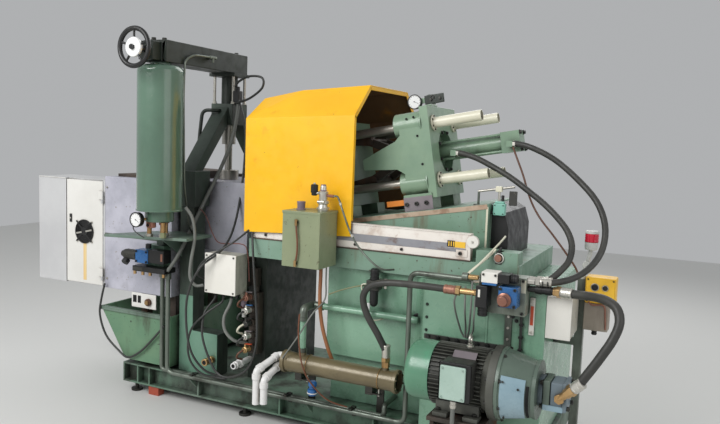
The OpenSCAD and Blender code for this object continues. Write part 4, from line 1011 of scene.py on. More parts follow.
def makeBoxes():
    parts = terminalBox(*boxSet["small"])
    for z in boxSet["arms"]:
        parts.append(block((-435, -400, z), (-400, -300, z + 30), "rustSteel", 2))
    for x in boxSet["glands"]:
        parts += [rod((x, -460, 707), downward, 17, 26, "blackPlastic", 2, 6),
                  rod((x, -460, 690), downward, 12, 18, "blackPlastic", 2, 24)]
    parts += terminalBox(*boxSet["tall"], False)
    for x, y in ((1340, -400), (1384, -340)):
        parts.append(rod((x, y, 717), downward, 19, 28, "blackPlastic", 2, 6))
    parts.append(block((1409, -330, 800), (1414.5, -322, 830), "zinc", 1))
    piece("terminal_boxes", parts, stands=["electrical_boxes"])


makeFurnaceValves()
makeBoxes()
print("valves and boxes made")


# Hydraulic tank trim: cover plates, bolts, level gauge and the cable grommet
tank = {"front": -456, "flat": -396, "rear": 396, "boltZ": (670, 735, 800), "gauge": (1226, 722, 1250, 900),
        "rail": (735, 50, 8), "strip": (630, 55, 4), "rearBolts": (180, 175, 7), "rearZ": (890, 470)}


def makeTankTrim():
    front, flat, rear = tank["front"], tank["flat"], tank["rear"]
    parts = [block((1020, front - 4, 640), (1030, front, 925), "tankGreen", 1.5),
             block((1112, front - 6, 600), (1146, front, 818), "pipeSteel", 1.5),
             block((712, front - 5, 628), (1110, front, 652), "darkSteel", 2)]
    parts += heads(spaced(*tank["rail"]), front - 5, 640, toFront, 18, "blackPaint", hexHead)
    parts += heads(720, front, tank["boltZ"], toFront, 12, "darkGreen", hexHead)
    parts += heads(1129, front - 6, spaced(*tank["strip"]), toFront, 10, "zinc", hexHead)
    for x, z in ((1148, 796), (1166, 778)):
        parts += hexHead((x, front, z), toFront, 14, "blackPaint")
    # The black disc in the grommet is painted shade in its hole
    parts += [ring((655, -411, 708), toFront, 44, 10, "blackPlastic"),
              rod((655, -400, 708), toFront, 14, 40, "holeShadeBlack", 0, 32),
              rod((560, flat, 690), toFront, 8, 12, "brass", 1, 6)]
    x0, z0, x1, z1 = tank["gauge"]
    parts += [block((x0, front - 10, z0), (x1, front, z1), "boxWhite", 3),
              block((x0 + 5, front - 12, z0 + 48), (x1 - 5, front - 9, z1 - 40), "signalRed", 1)]
    parts += heads((x0 + x1) / 2, front - 10, (z0 + 14, z1 - 14), toFront, 11, "zinc")
    lead = [(1190, front - 10, 815), (1192, front - 12, 700), (1192, front - 12, 600)]
    parts.append(pipe(lead, 20, 12, "cableBlack", 3, 6))
    for z in (640, 700, 760):
        parts.append(block((1182, front - 20, z), (1202, front, z + 10), "blackPlastic", 1))
    parts += [block((330, rear, 500), (430, rear + 6, 640), "zinc", 2),
              rod((900, rear + 2, 800), toRear, 14, 90, "zinc", 3, 32)]
    for x in spaced(*tank["rearBolts"]):
        parts += heads(x, rear, tank["rearZ"], toRear, 16, head=hexHead)
    piece("tank_trim", parts)


makeTankTrim()
print("tank trim made")


# Valve manifold with its solenoid valves, adaptors and hose ferrules
def ferrule(start, end, d, body="zinc", nut="zinc"):
    a, b = Vector(start), Vector(end)
    out = (b - a).normalized()
    long = (b - a).length - 20
    grips = [(0, d * 0.9), (4, d)]
    for first, last in ((0.15, 0.33), (0.6, 0.78)):
        grips += [(long * first, d), (long * (first + 0.03), d * 0.94), (long * (last - 0.03), d * 0.94),
                  (long * last, d)]
    grips += [(long - 3, d), (long, d * 0.9)]
    return [bar(a, a + out * 20, d * 1.08, nut, 1.5, 6), turned(a + out * 20, b, grips, body, 32)]


def ribbed(start, end, d, paint, ribs):
    a, b = Vector(start), Vector(end)
    long = (b - a).length
    outline = [(0, d * 0.9)]
    for k in range(ribs):
        low, high = long * (k + 0.15) / ribs, long * (k + 0.75) / ribs
        outline += [(low, d * 0.9), (low + 1, d), (high, d), (high + 1, d * 0.9)]
    return turned(a, b, outline + [(long, d * 0.86)], paint, 32)


manifold = {"right": 1220, "hoseZ": 985, "hoses": ((-515, 11), (-476, 8)), "feed": (1254, -500, 948),
            "screwX": (1014, 1206), "screwZ": (834, 986)}
coilSet = {"cablePaint": "conduitGrey", "cable": 9, "cables": (
    [(930, -590, 940), (900, -590, 860), (905, -500, 720), (920, -470, 668)],
    [(950, -590, 940), (955, -596, 830), (935, -500, 720), (925, -470, 665)],
    [(985, -600, 970), (985, -604, 830), (955, -510, 720), (935, -470, 668)],
    [(1004, -600, 900), (1002, -606, 800), (975, -510, 715), (945, -470, 668)])}


def makeManifold():
    right, high = manifold["right"], manifold["hoseZ"]
    x, y, z = manifold["feed"]
    parts = [block((1000, -540, 820), (right, -456, 1000), "manifoldGrey", 4),
             block((1196, -541, 930), (1219, -539.5, 990), "coverCream", 0.5)]
    for hoseY, lean in manifold["hoses"]:
        parts.append(bar((right, hoseY, high), (x, hoseY, high), 34, "zinc", 2, 6))
        parts += ferrule((x + 0.5, hoseY, high), (x + 70, hoseY + lean, high + 3), 40)
    parts += [bar((right, y, z), (x, y, z), 30, "blackPaint", 2, 6),
              ribbed((x, y, z), (x + 80, y, z), 42, "blackPaint", 2),
              bar((x + 80, y, z), (x + 96, y, z), 44, "brass", 2, 6)]
    parts += ferrule((x + 96.5, y, z), (x + 168, y - 19, z + 2), 50, "zinc", "brass")
    parts += heads(manifold["screwX"], -540, manifold["screwZ"], toFront, 13)
    piece("manifold_block", parts, stands=["valve_manifold"])


def makePumpValves():
    knob = [(0, 64), (8, 64), (10, 56), (12, 50), (20, 50), (22, 44), (44, 44), (46, 38)]
    parts = [block((1030, -620, 974), (1106, -540, 1024), "boxWhite", 4),
             block((1034, -618, 964), (1102, -542, 976), "valveBlue", 2),
             block((1106, -616, 978), (1158, -544, 1020), "blackPaint", 3),
             ribbed((1158, -580, 999), (1190, -580, 999), 44, "blackPlastic", 3),
             block((1110, -612, 868), (1196, -540, 964), "valveBlue", 5),
             block((1180, -600, 880), (1197, -560, 952), "valveBlue", 3),
             lathe((1140, -612, 905), toFront, knob, "copper", 40),
             ring((1140, -618, 905), toFront, 58, 6, "boxWhite"),
             block((1008, -622, 856), (1062, -540, 958), "blackPaint", 4),
             block((1020, -624, 905), (1030, -621, 940), "boxWhite", 0.5),
             ribbed((1035, -582, 856), (1035, -582, 812), 48, "blackPlastic", 3),
             rod((1000, -600, 918), toRight, 8, 34, "brass", 1, 6),
             rod((930, -600, 918), toRight, 70, 30, "brass", 1, 24),
             rod((1008, -580, 985), toLeft, 48, 26, "brass", 2, 6),
             rod((960, -580, 985), toLeft, 30, 36, "pipeSteel", 3, 24)]
    parts += ferrule((929.5, -600, 918), (852, -603, 919), 44, "copper", "brass")
    parts += heads((1120, 1186), -612, (878, 954), toFront, 14)
    parts += heads((1040, 1096), -620, 1012, toFront, 10)
    for run in coilSet["cables"]:
        parts.append(tube(run, coilSet["cable"], coilSet["cablePaint"]))
    parts.append(tube([(960, -580, 1000), (1000, -520, 1050), (1040, -380, 1120), (1050, -290, 1150)], 10,
                      "coverCream"))
    piece("solenoid_valves", parts, stands=["pump_valves"])


makeManifold()
makePumpValves()
print("manifold made")


# Steel pressure pipes in front of the base, and the saddles that hold them
pipeSet = {"d": 26, "low": 188, "front": -503, "back": -475, "left": -870, "backLeft": -935, "top": 782,
           "saddles": (-700, -60, 330)}


def makePressurePipes():
    low, front, back, top = pipeSet["low"], pipeSet["front"], pipeSet["back"], pipeSet["top"]
    left, backLeft = pipeSet["left"], pipeSet["backLeft"]
    longRun = [(1000, -510, 960), (645, -510, 960), (645, front, low), (left, front, low), (left, front, top)]
    shortRun = [(520, -330, 248), (520, back, 248), (520, back, low), (backLeft, back, low),
                (backLeft, back, top)]
    parts = [pipe(longRun, 48, pipeSet["d"], "pipeSteel"), pipe(shortRun, 28, pipeSet["d"], "pipeSteel"),
             rod((1000, -510, 960), toLeft, 32, 42, "zinc", 2, 6),
             rod((968, -510, 960), toLeft, 16, 36, "pipeSteel", 2, 24)]
    for x in pipeSet["saddles"]:
        parts += [block((x, -520, 201), (x + 24, -456, 206), "darkSteel", 1.5),
                  block((x, -462, 150), (x + 24, -456, 206), "darkSteel", 1.5)]
        parts += hexHead((x + 12, -489, 206), upward, 12)
    piece("pressure_pipe_runs", parts, stands=["pressure_pipes"])


# Shell and tube oil cooler, its saddles, straps and green riser
cooler = {"left": -20, "right": 600, "y": -540, "z": 408, "d": 104, "bolts": range(8),
          "ports": ((66, 12, 44), (545, 40, 34)), "saddles": (60, 470), "wall": -406, "riserY": -440,
          "riserZ": 706}


def makeCooler():
    y, z, d, wall = cooler["y"], cooler["z"], cooler["d"], cooler["wall"]
    left, right = cooler["left"], cooler["right"]
    long = right - left
    shell = [(-20, d - 30), (-20, d + 14), (-18, d + 16), (-2, d + 16), (0, d + 12), (0, d), (14, d),
             (18, d + 4), (22, d + 4), (26, d), (long - 26, d), (long - 20, d + 4), (long, d + 4),
             (long, d + 14), (long + 2, d + 16), (long + 18, d + 16), (long + 20, d + 12),
             (long + 20, d - 14), (long - 6, d - 16), (long - 8, 30)]
    # The black disc inside the shell's right end is painted shade
    parts = [lathe((left, y, z), toRight, shell, "coolerOlive", 72),
             rod((right - 8.5, y, z), toRight, 4.5, 86, "holeShadeBlack", 0, 48)]
    for dy, dz in around([22.5 + 45 * k for k in cooler["bolts"]], d / 2 + 1):
        parts += hexHead((left - 20, y + dy, z + dz), toLeft, 9, "coolerOlive")
        parts += hexHead((right + 20, y + dy, z + dz), toRight, 9, "coolerOlive")
    for x, tall, wide in cooler["ports"]:
        port = [(0, wide + 6), (d / 2 - 2, wide + 6), (d / 2 + 3, wide), (d / 2 + tall, wide)]
        parts.append(lathe((x, y, z), upward, port, "coolerOlive", 40))
    x = cooler["ports"][1][0]
    parts.append(rod((x, y, 470), upward, 30, 42, "brass", 2, 6))
    parts += ferrule((x, y, 500.5), (x - 1, y - 1, 586), 44, "zinc", "brass")
    for x in cooler["saddles"]:
        parts += [block((x - 20, y - 30, 336), (x + 20, y + 30, 368), "darkSteel", 2),
                  block((x - 20, y - 30, 324), (x + 20, wall, 336), "darkSteel", 1.5),
                  block((x - 20, wall - 12, 175), (x + 20, wall, 324), "darkSteel", 1.5),
                  rod((x + 52, y - 20, 324), upward, 38, 8, "zinc", 0, 12),
                  ring((x + 52, y, z), toRight, d + 3, 4, "brass", sides=64),
                  block((x + 20, y - 32, 330), (x + 62, y - 8, 336), "darkSteel", 1)]
        parts += hexHead((x + 52, y - 20, 330), downward, 12, "zinc")
    drain = [(0, 30), (6, 44), (26, 46), (30, 34), (40, 34), (44, 50), (68, 52), (76, 40)]
    parts += [turned((150, y - 30, 338), (150, y - 34, 262), drain, "valveBlue", 32),
              ring((150, y - 33, 276), upward, 52, 5, "boxWhite", sides=32)]
    piece("oil_cooler_shell", parts, stands=["oil_cooler"])


def makeCoolerPipes():
    x, y, high, back = cooler["ports"][0][0], cooler["y"], cooler["riserZ"], cooler["riserY"]
    collar = [(0, 40), (2, 46), (20, 46), (22, 40)]
    parts = [pipe([(x, y, 472), (x, y, high), (x, back, high), (670, back, high)], 38, 34, "tankGreen")]
    for place, way in (((x, y, 640), upward), ((x + 44, back, high), toRight), ((x, y, 472), upward),
                       ((610, back, high), toRight)):
        parts.append(lathe(place, way, collar, "pipeSteel", 40))
    cuff = [(x, y, 660), (x, y, high), (x, back, high), (x + 46, back, high)]
    parts.append(pipe(cuff, 38, 42, "pipeSteel"))
    piece("cooler_riser", parts, stands=["cooler_pipes"])


# White drains at the cooler's left end, with a cock and a union on the wall behind
drainSet = {"d": 38, "socket": 46,
            "runs": ((25, -40, (-48, -140, -58), 180), (-25, -30, (-10, -140, -48), 130))}


def makeDrains():
    parts = []
    d, socket = drainSet["d"], drainSet["socket"]
    for up, side, drop, tall in drainSet["runs"]:
        start = Vector((cooler["left"] - 20, cooler["y"], cooler["z"] + up))
        turn = start + Vector((side, 0, 0))
        low = turn + Vector(drop)
        foot = low - Vector((0, 0, tall))
        parts.append(pipe([start, turn, low, foot], 20, d, "pipeWhite", 8, 8))
        arm = (low - turn).normalized()
        for a, b in ((turn + arm * 10, turn + arm * 38), (low - arm * 40, low - arm * 12),
                     (low - Vector((0, 0, 16)), low - Vector((0, 0, 46)))):
            long = (b - a).length
            shape = [(0, d + 2), (2, socket), (long - 2, socket), (long, d + 2)]
            parts.append(turned(a, b, shape, "pipeWhite", 40))
        # A black disc at each pipe's foot: painted shade in the bore
        parts.append(bar(foot - Vector((0, 0, 0.5)), foot + Vector(upward), 30, "holeShadeBlack", 0, 32))
    cock = [(0, 34), (8, 34), (10, 46), (30, 46), (32, 36), (52, 36), (54, 42), (78, 42), (80, 36)]
    union = [(0, 34), (90, 34), (92, 50), (112, 50), (114, 38), (124, 38), (126, 44), (150, 44), (152, 36),
             (170, 36)]
    # The small black discs in the cock and the union are painted shade in their bores
    parts += [lathe((-620, -400, 280), toFront, cock, "brass", 32),
              rod((-620, -479, 280), toFront, 1.6, 26, "holeShadeBlack", 0, 24),
              lathe((-424, -300, 290), toFront, union, "pipeWhite", 32),
              rod((-424, -469, 290), toFront, 1.6, 24, "holeShadeBlack", 0, 24)]
    piece("drain_pipes", parts, stands=["drain_elbows"])


makePressurePipes()
makeCooler()
makeCoolerPipes()
makeDrains()
print("cooler and pipes made")


# Pump motor: pressed cowl, cast fins, terminal box and lifting eye
motor = {"y": -640, "z": 532, "left": 728, "cowl": 850, "flange": 1160, "fins": 44, "finReach": 136,
         "finEnds": (854, 1096), "grille": (60, 84, 108, 132), "boltReach": 156,
         "bolts": (20, 65, 110, 160, 200, 245, 295, 340), "foot": 372, "footSide": 107, "eye": 1003,
         "box": (928, -865, 480, 1074, -742, 654), "plateTurn": 128}


def makeMotor():
    y, z, left, cowlEnd = motor["y"], motor["z"], motor["left"], motor["cowl"]
    flange, foot, eye = motor["flange"], motor["foot"], motor["eye"]
    cowl = [(0, 150), (0, 236), (6, 256), (16, 268), (30, 275), (44, 276), (118, 278), (122, 280), (122, 262)]
    frameShape = [(-4, 240), (0, 258), (30, 258), (240, 258), (246, 276), (262, 288), (272, 300), (276, 334),
                  (279, 336), (307, 336), (310, 333)]
    parts = [lathe((left, y, z), toRight, cowl, "cowlGreen", 72),
             lathe((left - 1, y, z), toRight, [(0, 40), (3, 150)], "blackPaint", 48),
             lathe((cowlEnd, y, z), toRight, frameShape, "finGrey", 72)]
    for wide in motor["grille"]:
        parts.append(ring((left - 1, y, z), toLeft, wide, 4, "cowlGreen", sides=48))
    for k in range(motor["fins"]):
        a = math.radians(360 * (k + 0.5) / motor["fins"])
        spoke = Vector((0, math.cos(a), math.sin(a)))
        start, end = (Vector((x, y, z)) + spoke * motor["finReach"] for x in motor["finEnds"])
        parts.append(flatBetween(start, end, 4, 18, spoke, "finGrey", 1))
    for dy, dz in around(motor["bolts"], motor["boltReach"]):
        parts += hexHead((flange, y + dy, z + dz), toRight, 16)
        parts += hexHead((flange - 34, y + dy, z + dz), toLeft, 16)
    for side in (-1, 1):
        middle = y + side * motor["footSide"]
        web = middle - 20 * side
        parts += [block((880, middle - 34, foot), (950, middle + 34, foot + 20), "finGrey", 3),
                  block((1022, middle - 34, foot), (1092, middle + 34, foot + 20), "finGrey", 3),
                  block((884, web - 20, foot + 18), (1088, web + 20, foot + 68), "finGrey", 4)]
        parts += heads((900, 1068), middle, foot + 20, upward, 20, head=hexHead)
    x0, y0, z0, x1, y1, z1 = motor["box"]
    parts += [block((x0 + 4, y0 + 19, z0 + 4), (x1 - 4, y1, z1 - 4), "darkSteel", 10),
              block((x0, y0 + 13, z0), (x1, y0 + 21, z1), "blackPaint", 8),
              block((x0 + 8, y0, z0 + 8), (x1 - 22, y0 + 14, z1 - 14), "lidMint", 6)]
    parts += heads((948, 1040), y0 + 0.5, (500, 628), toFront, 8, "lidMint")
    parts += [ribbed((990, -820, z0), (990, -820, z0 - 40), 30, "zinc", 2),
              lathe((eye, y, 672), upward, [(0, 34), (6, 34), (8, 24), (18, 24)], "zinc", 32),
              ring((eye, y, 711), toRight, 36, 11, "zinc", sides=40)]
    plateTurn = math.radians(motor["plateTurn"])
    out = Vector((0, math.cos(plateTurn), math.sin(plateTurn)))
    start, end = (Vector((x, y, z)) + out * 147 for x in (950, 1058))
    parts.append(flatBetween(start, end, 66, 3, out, "plateGrey", 1))
    lead = [(990, -820, 444), (990, -822, 380), (992, -820, 300), (1000, -800, 200), (1010, -770, 110),
            (1012, -740, 40), (1010, -700, 16)]
    parts.append(tube(lead, 20, "conduitGrey", 5))
    piece("pump_motor", parts, stands=["motor"])


# Bell housing with a pale blue bent sheet over the window: a painted highlight on its front
bell = {"left": 1160, "wraps": 14, "skinTurn": 150, "skinWide": 84, "skin": ((1184, 157.5), (1288, 137)),
        "skinThick": 3, "seam": 0.2,
        "bolts": (25, 70, 115, 160, 205, 250, 295, 340), "boltX": 1178, "boltReach": 158,
        "screws": ((160, 1196), (168, 1262), (225, 1200))}


def makeSheenSheet(y, z):
    # Pale blue sheet over the bell's front sector: a painted highlight
    flaps = []
    for k in range(bell["wraps"]):
        turns = [bell["skinTurn"] + bell["skinWide"] * (k + n) / bell["wraps"] for n in (0, 1)]
        corners = [(x, y + dy, z + dz) for x, r in bell["skin"] for dy, dz in around(turns, r)]
        pickNothing()
        bpy.ops.mesh.primitive_plane_add(size=1)
        flap = bpy.context.object
        for vertex, corner in zip(flap.data.vertices, corners):
            vertex.co = mm(*corner)
        settle(flap, machine)
        flaps.append(coat(flap, "panelBlue"))
    pickNothing()
    for flap in flaps:
        flap.select_set(True)
    bpy.context.view_layer.objects.active = flaps[0]
    bpy.ops.object.join()
    skin = bpy.context.object
    bpy.ops.object.mode_set(mode="EDIT")
    bpy.ops.mesh.select_all(action="SELECT")
    bpy.ops.mesh.remove_doubles(threshold=bell["seam"] / 1000)
    bpy.ops.mesh.normals_make_consistent(inside=False)
    bpy.ops.object.mode_set(mode="OBJECT")
    bpy.ops.object.modifier_add(type="SOLIDIFY")
    skin.modifiers[-1].thickness = bell["skinThick"] / 1000
    skin.modifiers[-1].offset = 0
    bpy.ops.object.modifier_apply(modifier=skin.modifiers[-1].name)
    return skin


def makeBell():
    y, z, boltX = motor["y"], motor["z"], bell["boltX"]
    shell = [(0, 300), (0, 328), (2, 330), (16, 330), (18, 318), (120, 268), (150, 252), (154, 252),
             (154, 262), (168, 262), (170, 258), (170, 140)]
    # The black line along the window is painted shade in its slot
    slot = [Vector((1298, y + dy, z + dz)) for dy, dz in around(range(160, 233, 6), 130.5)]
    parts = [lathe((bell["left"], y, z), toRight, shell, "bellGreen", 72), makeSheenSheet(y, z),
             line(slot, 12, "holeShadeBlack")]
    for dy, dz in around(bell["bolts"], bell["boltReach"]):
        parts += hexHead((boltX, y + dy, z + dz), toRight, 15)
    for turn, x in bell["screws"]:
        a = math.radians(turn)
        r = 163 - (x - boltX) * 0.2
        parts += capHead((x, y + r * math.cos(a), z + r * math.sin(a)), (0, math.cos(a), math.sin(a)), 10)
    piece("bell_housing_casting", parts, stands=["bell_housing"])


# Gear pump on the bell housing, with the port of its hose
pump = {"left": 1330, "body": (1350, 1454), "half": 64, "screws": (-48, 48)}


def makePump():
    y, z, half = motor["y"], motor["z"], pump["half"]
    left, right = pump["body"]
    parts = [lathe((pump["left"], y, z), toRight, [(0, 138), (2, 140), (18, 140), (20, 134)], "pumpGrey", 48),
             block((left, y - half, z - half), (left + 32, y + half, z + half), "bellGreen", 6),
             block((left + 32, y - 60, z - 60), (right - 16, y + 60, z + 60), "pumpGrey", 8),
             block((right - 20, y - half, z - half), (right, y + half, z + half), "pumpGrey", 6),
             block((left + 2, y - 66, z - 66), (right - 14, y - 20, z - 40), "panelBlue", 4)]
    for dy in pump["screws"]:
        for dz in pump["screws"]:
            parts += capHead((right, y + dy, z + dz), toRight, 20)
            parts += hexHead((left, y + dy * 1.1, z + dz * 1.1), toLeft, 20)
    end, start = (Vector(p) for p in hoses["hose_pump"]["route"][:2])
    way = (start - end).normalized()
    port = end - way * (42 / way.x)
    parts += [bar((port.x, -704, port.z), (port.x, port.y - 15, port.z), 46, "brass", 3, 6),
              bar(port, end, 34, "brass", 3, 24), bar(end - way * 24, end, 44, "brass", 2, 6)]
    parts += ferrule(end + way * 0.5, end + way * 74, 50, "zinc", "brass")
    piece("gear_pump", parts, stands=["pump"])


makeMotor()
makeBell()
makePump()
print("motor and pump made")


# Lubrication tank, its pump and thin pipes
lube = {"left": -15, "wide": 218, "front": -644, "back": -454, "low": 940, "high": 1228, "cap": (47, -564),
        "pump": (161, -539), "sightX": 72, "sightZ": (1172, 962), "feedClips": (9, 20)}


def makeLube():
    x0, x1 = lube["left"], lube["left"] + lube["wide"]
    front, back, low, high = lube["front"], lube["back"], lube["low"], lube["high"]
    cap = [(0, 50), (6, 50), (8, 40), (34, 42), (40, 46), (44, 42)]
    parts = [block((x0, front, low), (x1, back, high), "lubeGreen", 4),
             block((x0 - 2, front - 2, high - 14), (x1 + 2, back + 1, high), "lubeGreen", 2),
             block((x0 + 30, back, low + 20), (x1 - 40, -430, low + 80), "lubeGreen", 2),
             lathe((*lube["cap"], high), upward, cap, "capMaroon", 24)]
    x, y = lube["pump"]
    body = [(0, 54), (10, 60), (20, 54), (34, 46), (40, 60), (52, 60), (56, 44), (84, 44), (90, 52),
            (100, 52), (104, 34), (126, 32), (132, 24)]
    bulb = [(0, 22), (4, 30), (14, 30), (16, 38), (54, 38), (58, 30)]
    parts += [lathe((x, y, high), upward, body, "zinc", 24),
              rod((x - 61, y, high + 90), toRight, 61, 16, "zinc", 1, 6),
              lathe((x - 53, y, high + 76), upward, bulb, "blackPlastic", 24),
              rod((x - 53, y, high + 134), upward, 8, 14, "zinc", 1, 16),
              bar((x + 20, y, high + 80), (x + 66, y - 8, high + 80), 16, "copper", 1, 6),
              rod((x - 20, y - 24, high + 48), toRight, 40, 14, "zinc", 1, 16),
              lathe((x, y, high + 104), upward, [(0, 36), (4, 36), (6, 26), (32, 26)], "capMaroon", 16)]
    for dx, dy in ((-20, -20), (20, 20), (20, -20), (-20, 20)):
        parts += hexHead((x + dx, y + dy, high + 12), upward, 12, "zinc")
    sightX, (top, foot) = lube["sightX"], lube["sightZ"]
    for z in (top, foot):
        parts += [rod((sightX, front, z), toFront, 12, 18, "darkSteel", 1, 6),
                  bar((sightX, front - 12, z - 16), (sightX, front - 12, z + 16), 15, "brass", 1, 6)]
    sight = [(sightX, front - 12, top), (76, front - 12, 1130), (83, front - 12, 1070),
             (82, front - 12, 1010), (sightX, front - 12, foot)]
    feed = [(x + 66, y - 8, high + 80), (250, -548, 1304), (285, -560, 1240), (330, -570, 1150),
            (380, -580, 1080), (460, -590, 1010), (520, -580, 972), (560, -520, 965)]
    drop = [(150, -520, low), (150, -520, 880), (146, -515, 780), (150, -510, 690), (165, -505, 600),
            (190, -490, 500), (215, -470, 420)]
    rear = [(182, -520, low), (182, -520, 860), (168, -500, 760), (130, -560, 690), (60, -590, 560),
            (-20, -600, 440)]
    thin = [(76, -600, 690), (78, -610, 600), (90, -612, 500), (110, -612, 420), (150, -600, 340),
            (230, -560, 250), (330, -520, 215)]
    spare = [(190, -500, 790), (260, -480, 820), (340, -460, 845), (396, -440, 850)]
    parts += [tube(sight, 9, "tubeBrown"), tube(feed, 10, "pipeSteel")]
    way = smooth(feed, 6)
    for k in lube["feedClips"]:
        parts.append(bar(way[k], way[k + 1], 15, "zinc", 1, 6))
    parts += [tube(drop, 20, "tubeRust", 5), tube(rear, 8, "conduitGrey"), tube(thin, 8, "tubeBrown"),
              tube(spare, 8, "oliveGreen")]
    piece("lubrication_unit", parts, stands=["lubrication_tank"])


# Air filter with its bowl, gauge and small valves
air = {"x": 430, "y": -458, "low": 838, "high": 888, "z": 866}


def makeAirUnit():
    x, y, low, high, z = air["x"], air["y"], air["low"], air["high"], air["z"]
    bowl = [(0, 50), (8, 50), (10, 44), (70, 44), (82, 34), (88, 18)]
    cock = [(0, 14), (4, 24), (30, 24), (34, 16), (50, 16)]
    nozzle = [(0, 12), (4, 22), (34, 22), (38, 14), (50, 14)]
    loop = [(x - 34, y, 862), (x - 70, y - 6, 850), (x - 40, y - 8, 770), (x - 16, y - 40, 716),
            (x + 10, y - 10, 680), (x + 60, -400, 690)]
    parts = [block((x - 26, -436, low), (x + 26, -396, high), "zinc", 3),
             block((x - 34, y - 30, low), (x + 34, y + 26, high), "darkSteel", 4),
             ribbed((x, y, high), (x, y, high + 56), 48, "blackPlastic", 3),
             rod((x, y, high + 56), upward, 4, 30, "blackPaint", 1, 24),
             lathe((x, y, low), downward, bowl, "blackPlastic", 32),
             rod((x + 20, y - 30, z), toFront, 14, 26, "blackPaint", 1, 24),
             rod((x + 20, y - 44, z), toFront, 1, 20, "dialWhite", 0, 24),
             lathe((x + 62, y, 900), downward, cock, "zinc", 20),
             rod((x + 34, y, z), toRight, 28, 16, "zinc", 1, 6),
             turned((x - 20, y - 26, 770), (x - 14, y - 40, 720), nozzle, "pipeWhite", 20),
             tube(loop, 7, "coverCream")]
    piece("air_filter_unit", parts, stands=["air_unit"])


# Cooling water manifold beside the pedestal: cocks, handles, short links and three caps
water = {"x": -370, "front": -392, "low": 385, "pitch": 75,
         "rows": (("brass", "signalRed", "hoseBrown"), ("zinc", "plateGrey", "cableBlack"),
                  ("darkSteel", "blackPaint", "coverCream"), ("zinc", "valveBlue", "cableBlack"),
                  ("copper", "plateGrey", "hoseBrown")),
         "caps": ("coverCream", "capMaroon", "greyPlastic"), "capTop": 712}


def makeWaterManifold():
    x, y = water["x"], water["front"]
    cock = [(0, 34), (10, 34), (12, 26), (26, 26), (28, 36), (48, 36), (50, 24), (56, 22)]
    parts = [dressed("water_manifold", "rustSteel", 2)]
    for k, (body, handle, link) in enumerate(water["rows"]):
        z = water["low"] + water["pitch"] * k
        parts += [lathe((x, y, z), toFront, cock, body, 20),
                  rod((x, y - 38, z + 10), upward, 24, 16, body, 1, 16),
                  flatBetween((x, y - 38, z + 36), (x + 46, y - 46, z + 40), 14, 4, upward, handle, 1),
                  tube([(x - 4, y - 56, z), (x - 20, y - 78, z - 16), (x - 34, y - 70, z - 44),
                        (x - 26, y - 30, z - 62)], 12, link)]
    for k, paint in enumerate(water["caps"]):
        side, back, top = x - 52 + 14 * k, -380 - 14 * k, water["capTop"] - 46 * k
        parts.append(turned((side, back, top), (side, back - 6, top - 52),
                            [(0, 30), (4, 36), (34, 36), (38, 24), (52, 24)], paint, 20))
    piece("water_manifold_cocks", parts, stands=["water_manifold"])


makeLube()
makeAirUnit()
makeWaterManifold()
print("lubrication made")


# Control post: yellow button box and grey box under it
post = {"x": 1437, "y": -200, "z": 862, "wide": 140, "tall": 128,
        "buttons": ((45, 30, "blackPaint"), (92, 22, "darkSteel"))}


def makeButtonBox():
    x, y, z, wide, tall = post["x"], post["y"], post["z"], post["wide"], post["tall"]
    face = y - 45
    parts = [block((x, y - 38, z - 133), (x + 114, y + 38, z), "greyBrown", 4),
             block((x, face, z), (x + wide, y + 45, z + tall), "yellowPlastic", 8),
             block((x + 6, face - 1.5, z + 6), (x + wide - 6, face, z + tall - 6), "yellowPlastic", 1)]
    for dx, d, paint in post["buttons"]:
        button = [(0, d), (4, d), (5, d * 0.84), (11, d * 0.84), (12, d * 0.7)]
        parts += [lathe((x + dx, face - 1, z + 80), toFront, button, paint, 32),
                  ring((x + dx, face - 4, z + 80), toFront, d + 4, 4, "zinc", sides=32)]
    parts += heads((x + 12, x + wide - 12), face - 1.5, (z + 12, z + tall - 12), toFront, 7)
    lead = [(x + 20, y - 50, z + 8), (x + 40, y - 52, z - 6), (x + 90, y - 48, z - 4),
            (x + 100, y - 44, z - 60), (x + 104, y - 40, z - 120)]
    parts += [tube(lead, 8, "copper"),
              ribbed((x + 50, y, z - 133), (x + 50, y, z - 160), 26, "blackPlastic", 2)]
    piece("button_stations", parts, stands=["button_box"])


# Beacon on its swivel
beacon = {"foot": (1417, -200, 969), "lamp": (1447, -200, 1110), "lens": 40, "cap": 82}


def makeBeacon():
    foot, lamp = Vector(beacon["foot"]), Vector(beacon["lamp"])
    swivel = foot.lerp(lamp, 0.5)
    lens = [(0, 58), (2, 64), (8, 65), (14, 62), (20, 65), (26, 62), (32, 65), (38, 62), (42, 64)]
    parts = [rod(foot, upward, 14, 34, "greyPlastic", 2, 32),
             bar(foot + Vector((0, 0, 10)), foot.lerp(lamp, 0.42), 24, "greyPlastic", 1, 24),
             rod(swivel + Vector((0, 18, 0)), toFront, 40, 38, "greyPlastic", 4, 32),
             bar(swivel, lamp, 20, "greyPlastic", 1, 24),
             lathe(lamp, upward, [(0, 30), (4, 56), (14, 62), (38, 62), (40, 64)], "greyPlastic", 48),
             lathe(lamp + Vector((0, 0, beacon["lens"])), upward, lens, "lensRed", 48),
             lathe(lamp + Vector((0, 0, beacon["cap"])), upward, [(0, 64), (1, 66), (9, 66), (13, 58)],
                   "greyPlastic", 48)]
    piece("beacon_head", parts, stands=["beacon_lamp"])


# Limit switch and its roller lever at the end of the slideway
switch = {"y": -255, "front": -272, "screwX": (984, 1026), "screwZ": (1258, 1300),
          "roller": (1058, -431, 1062)}


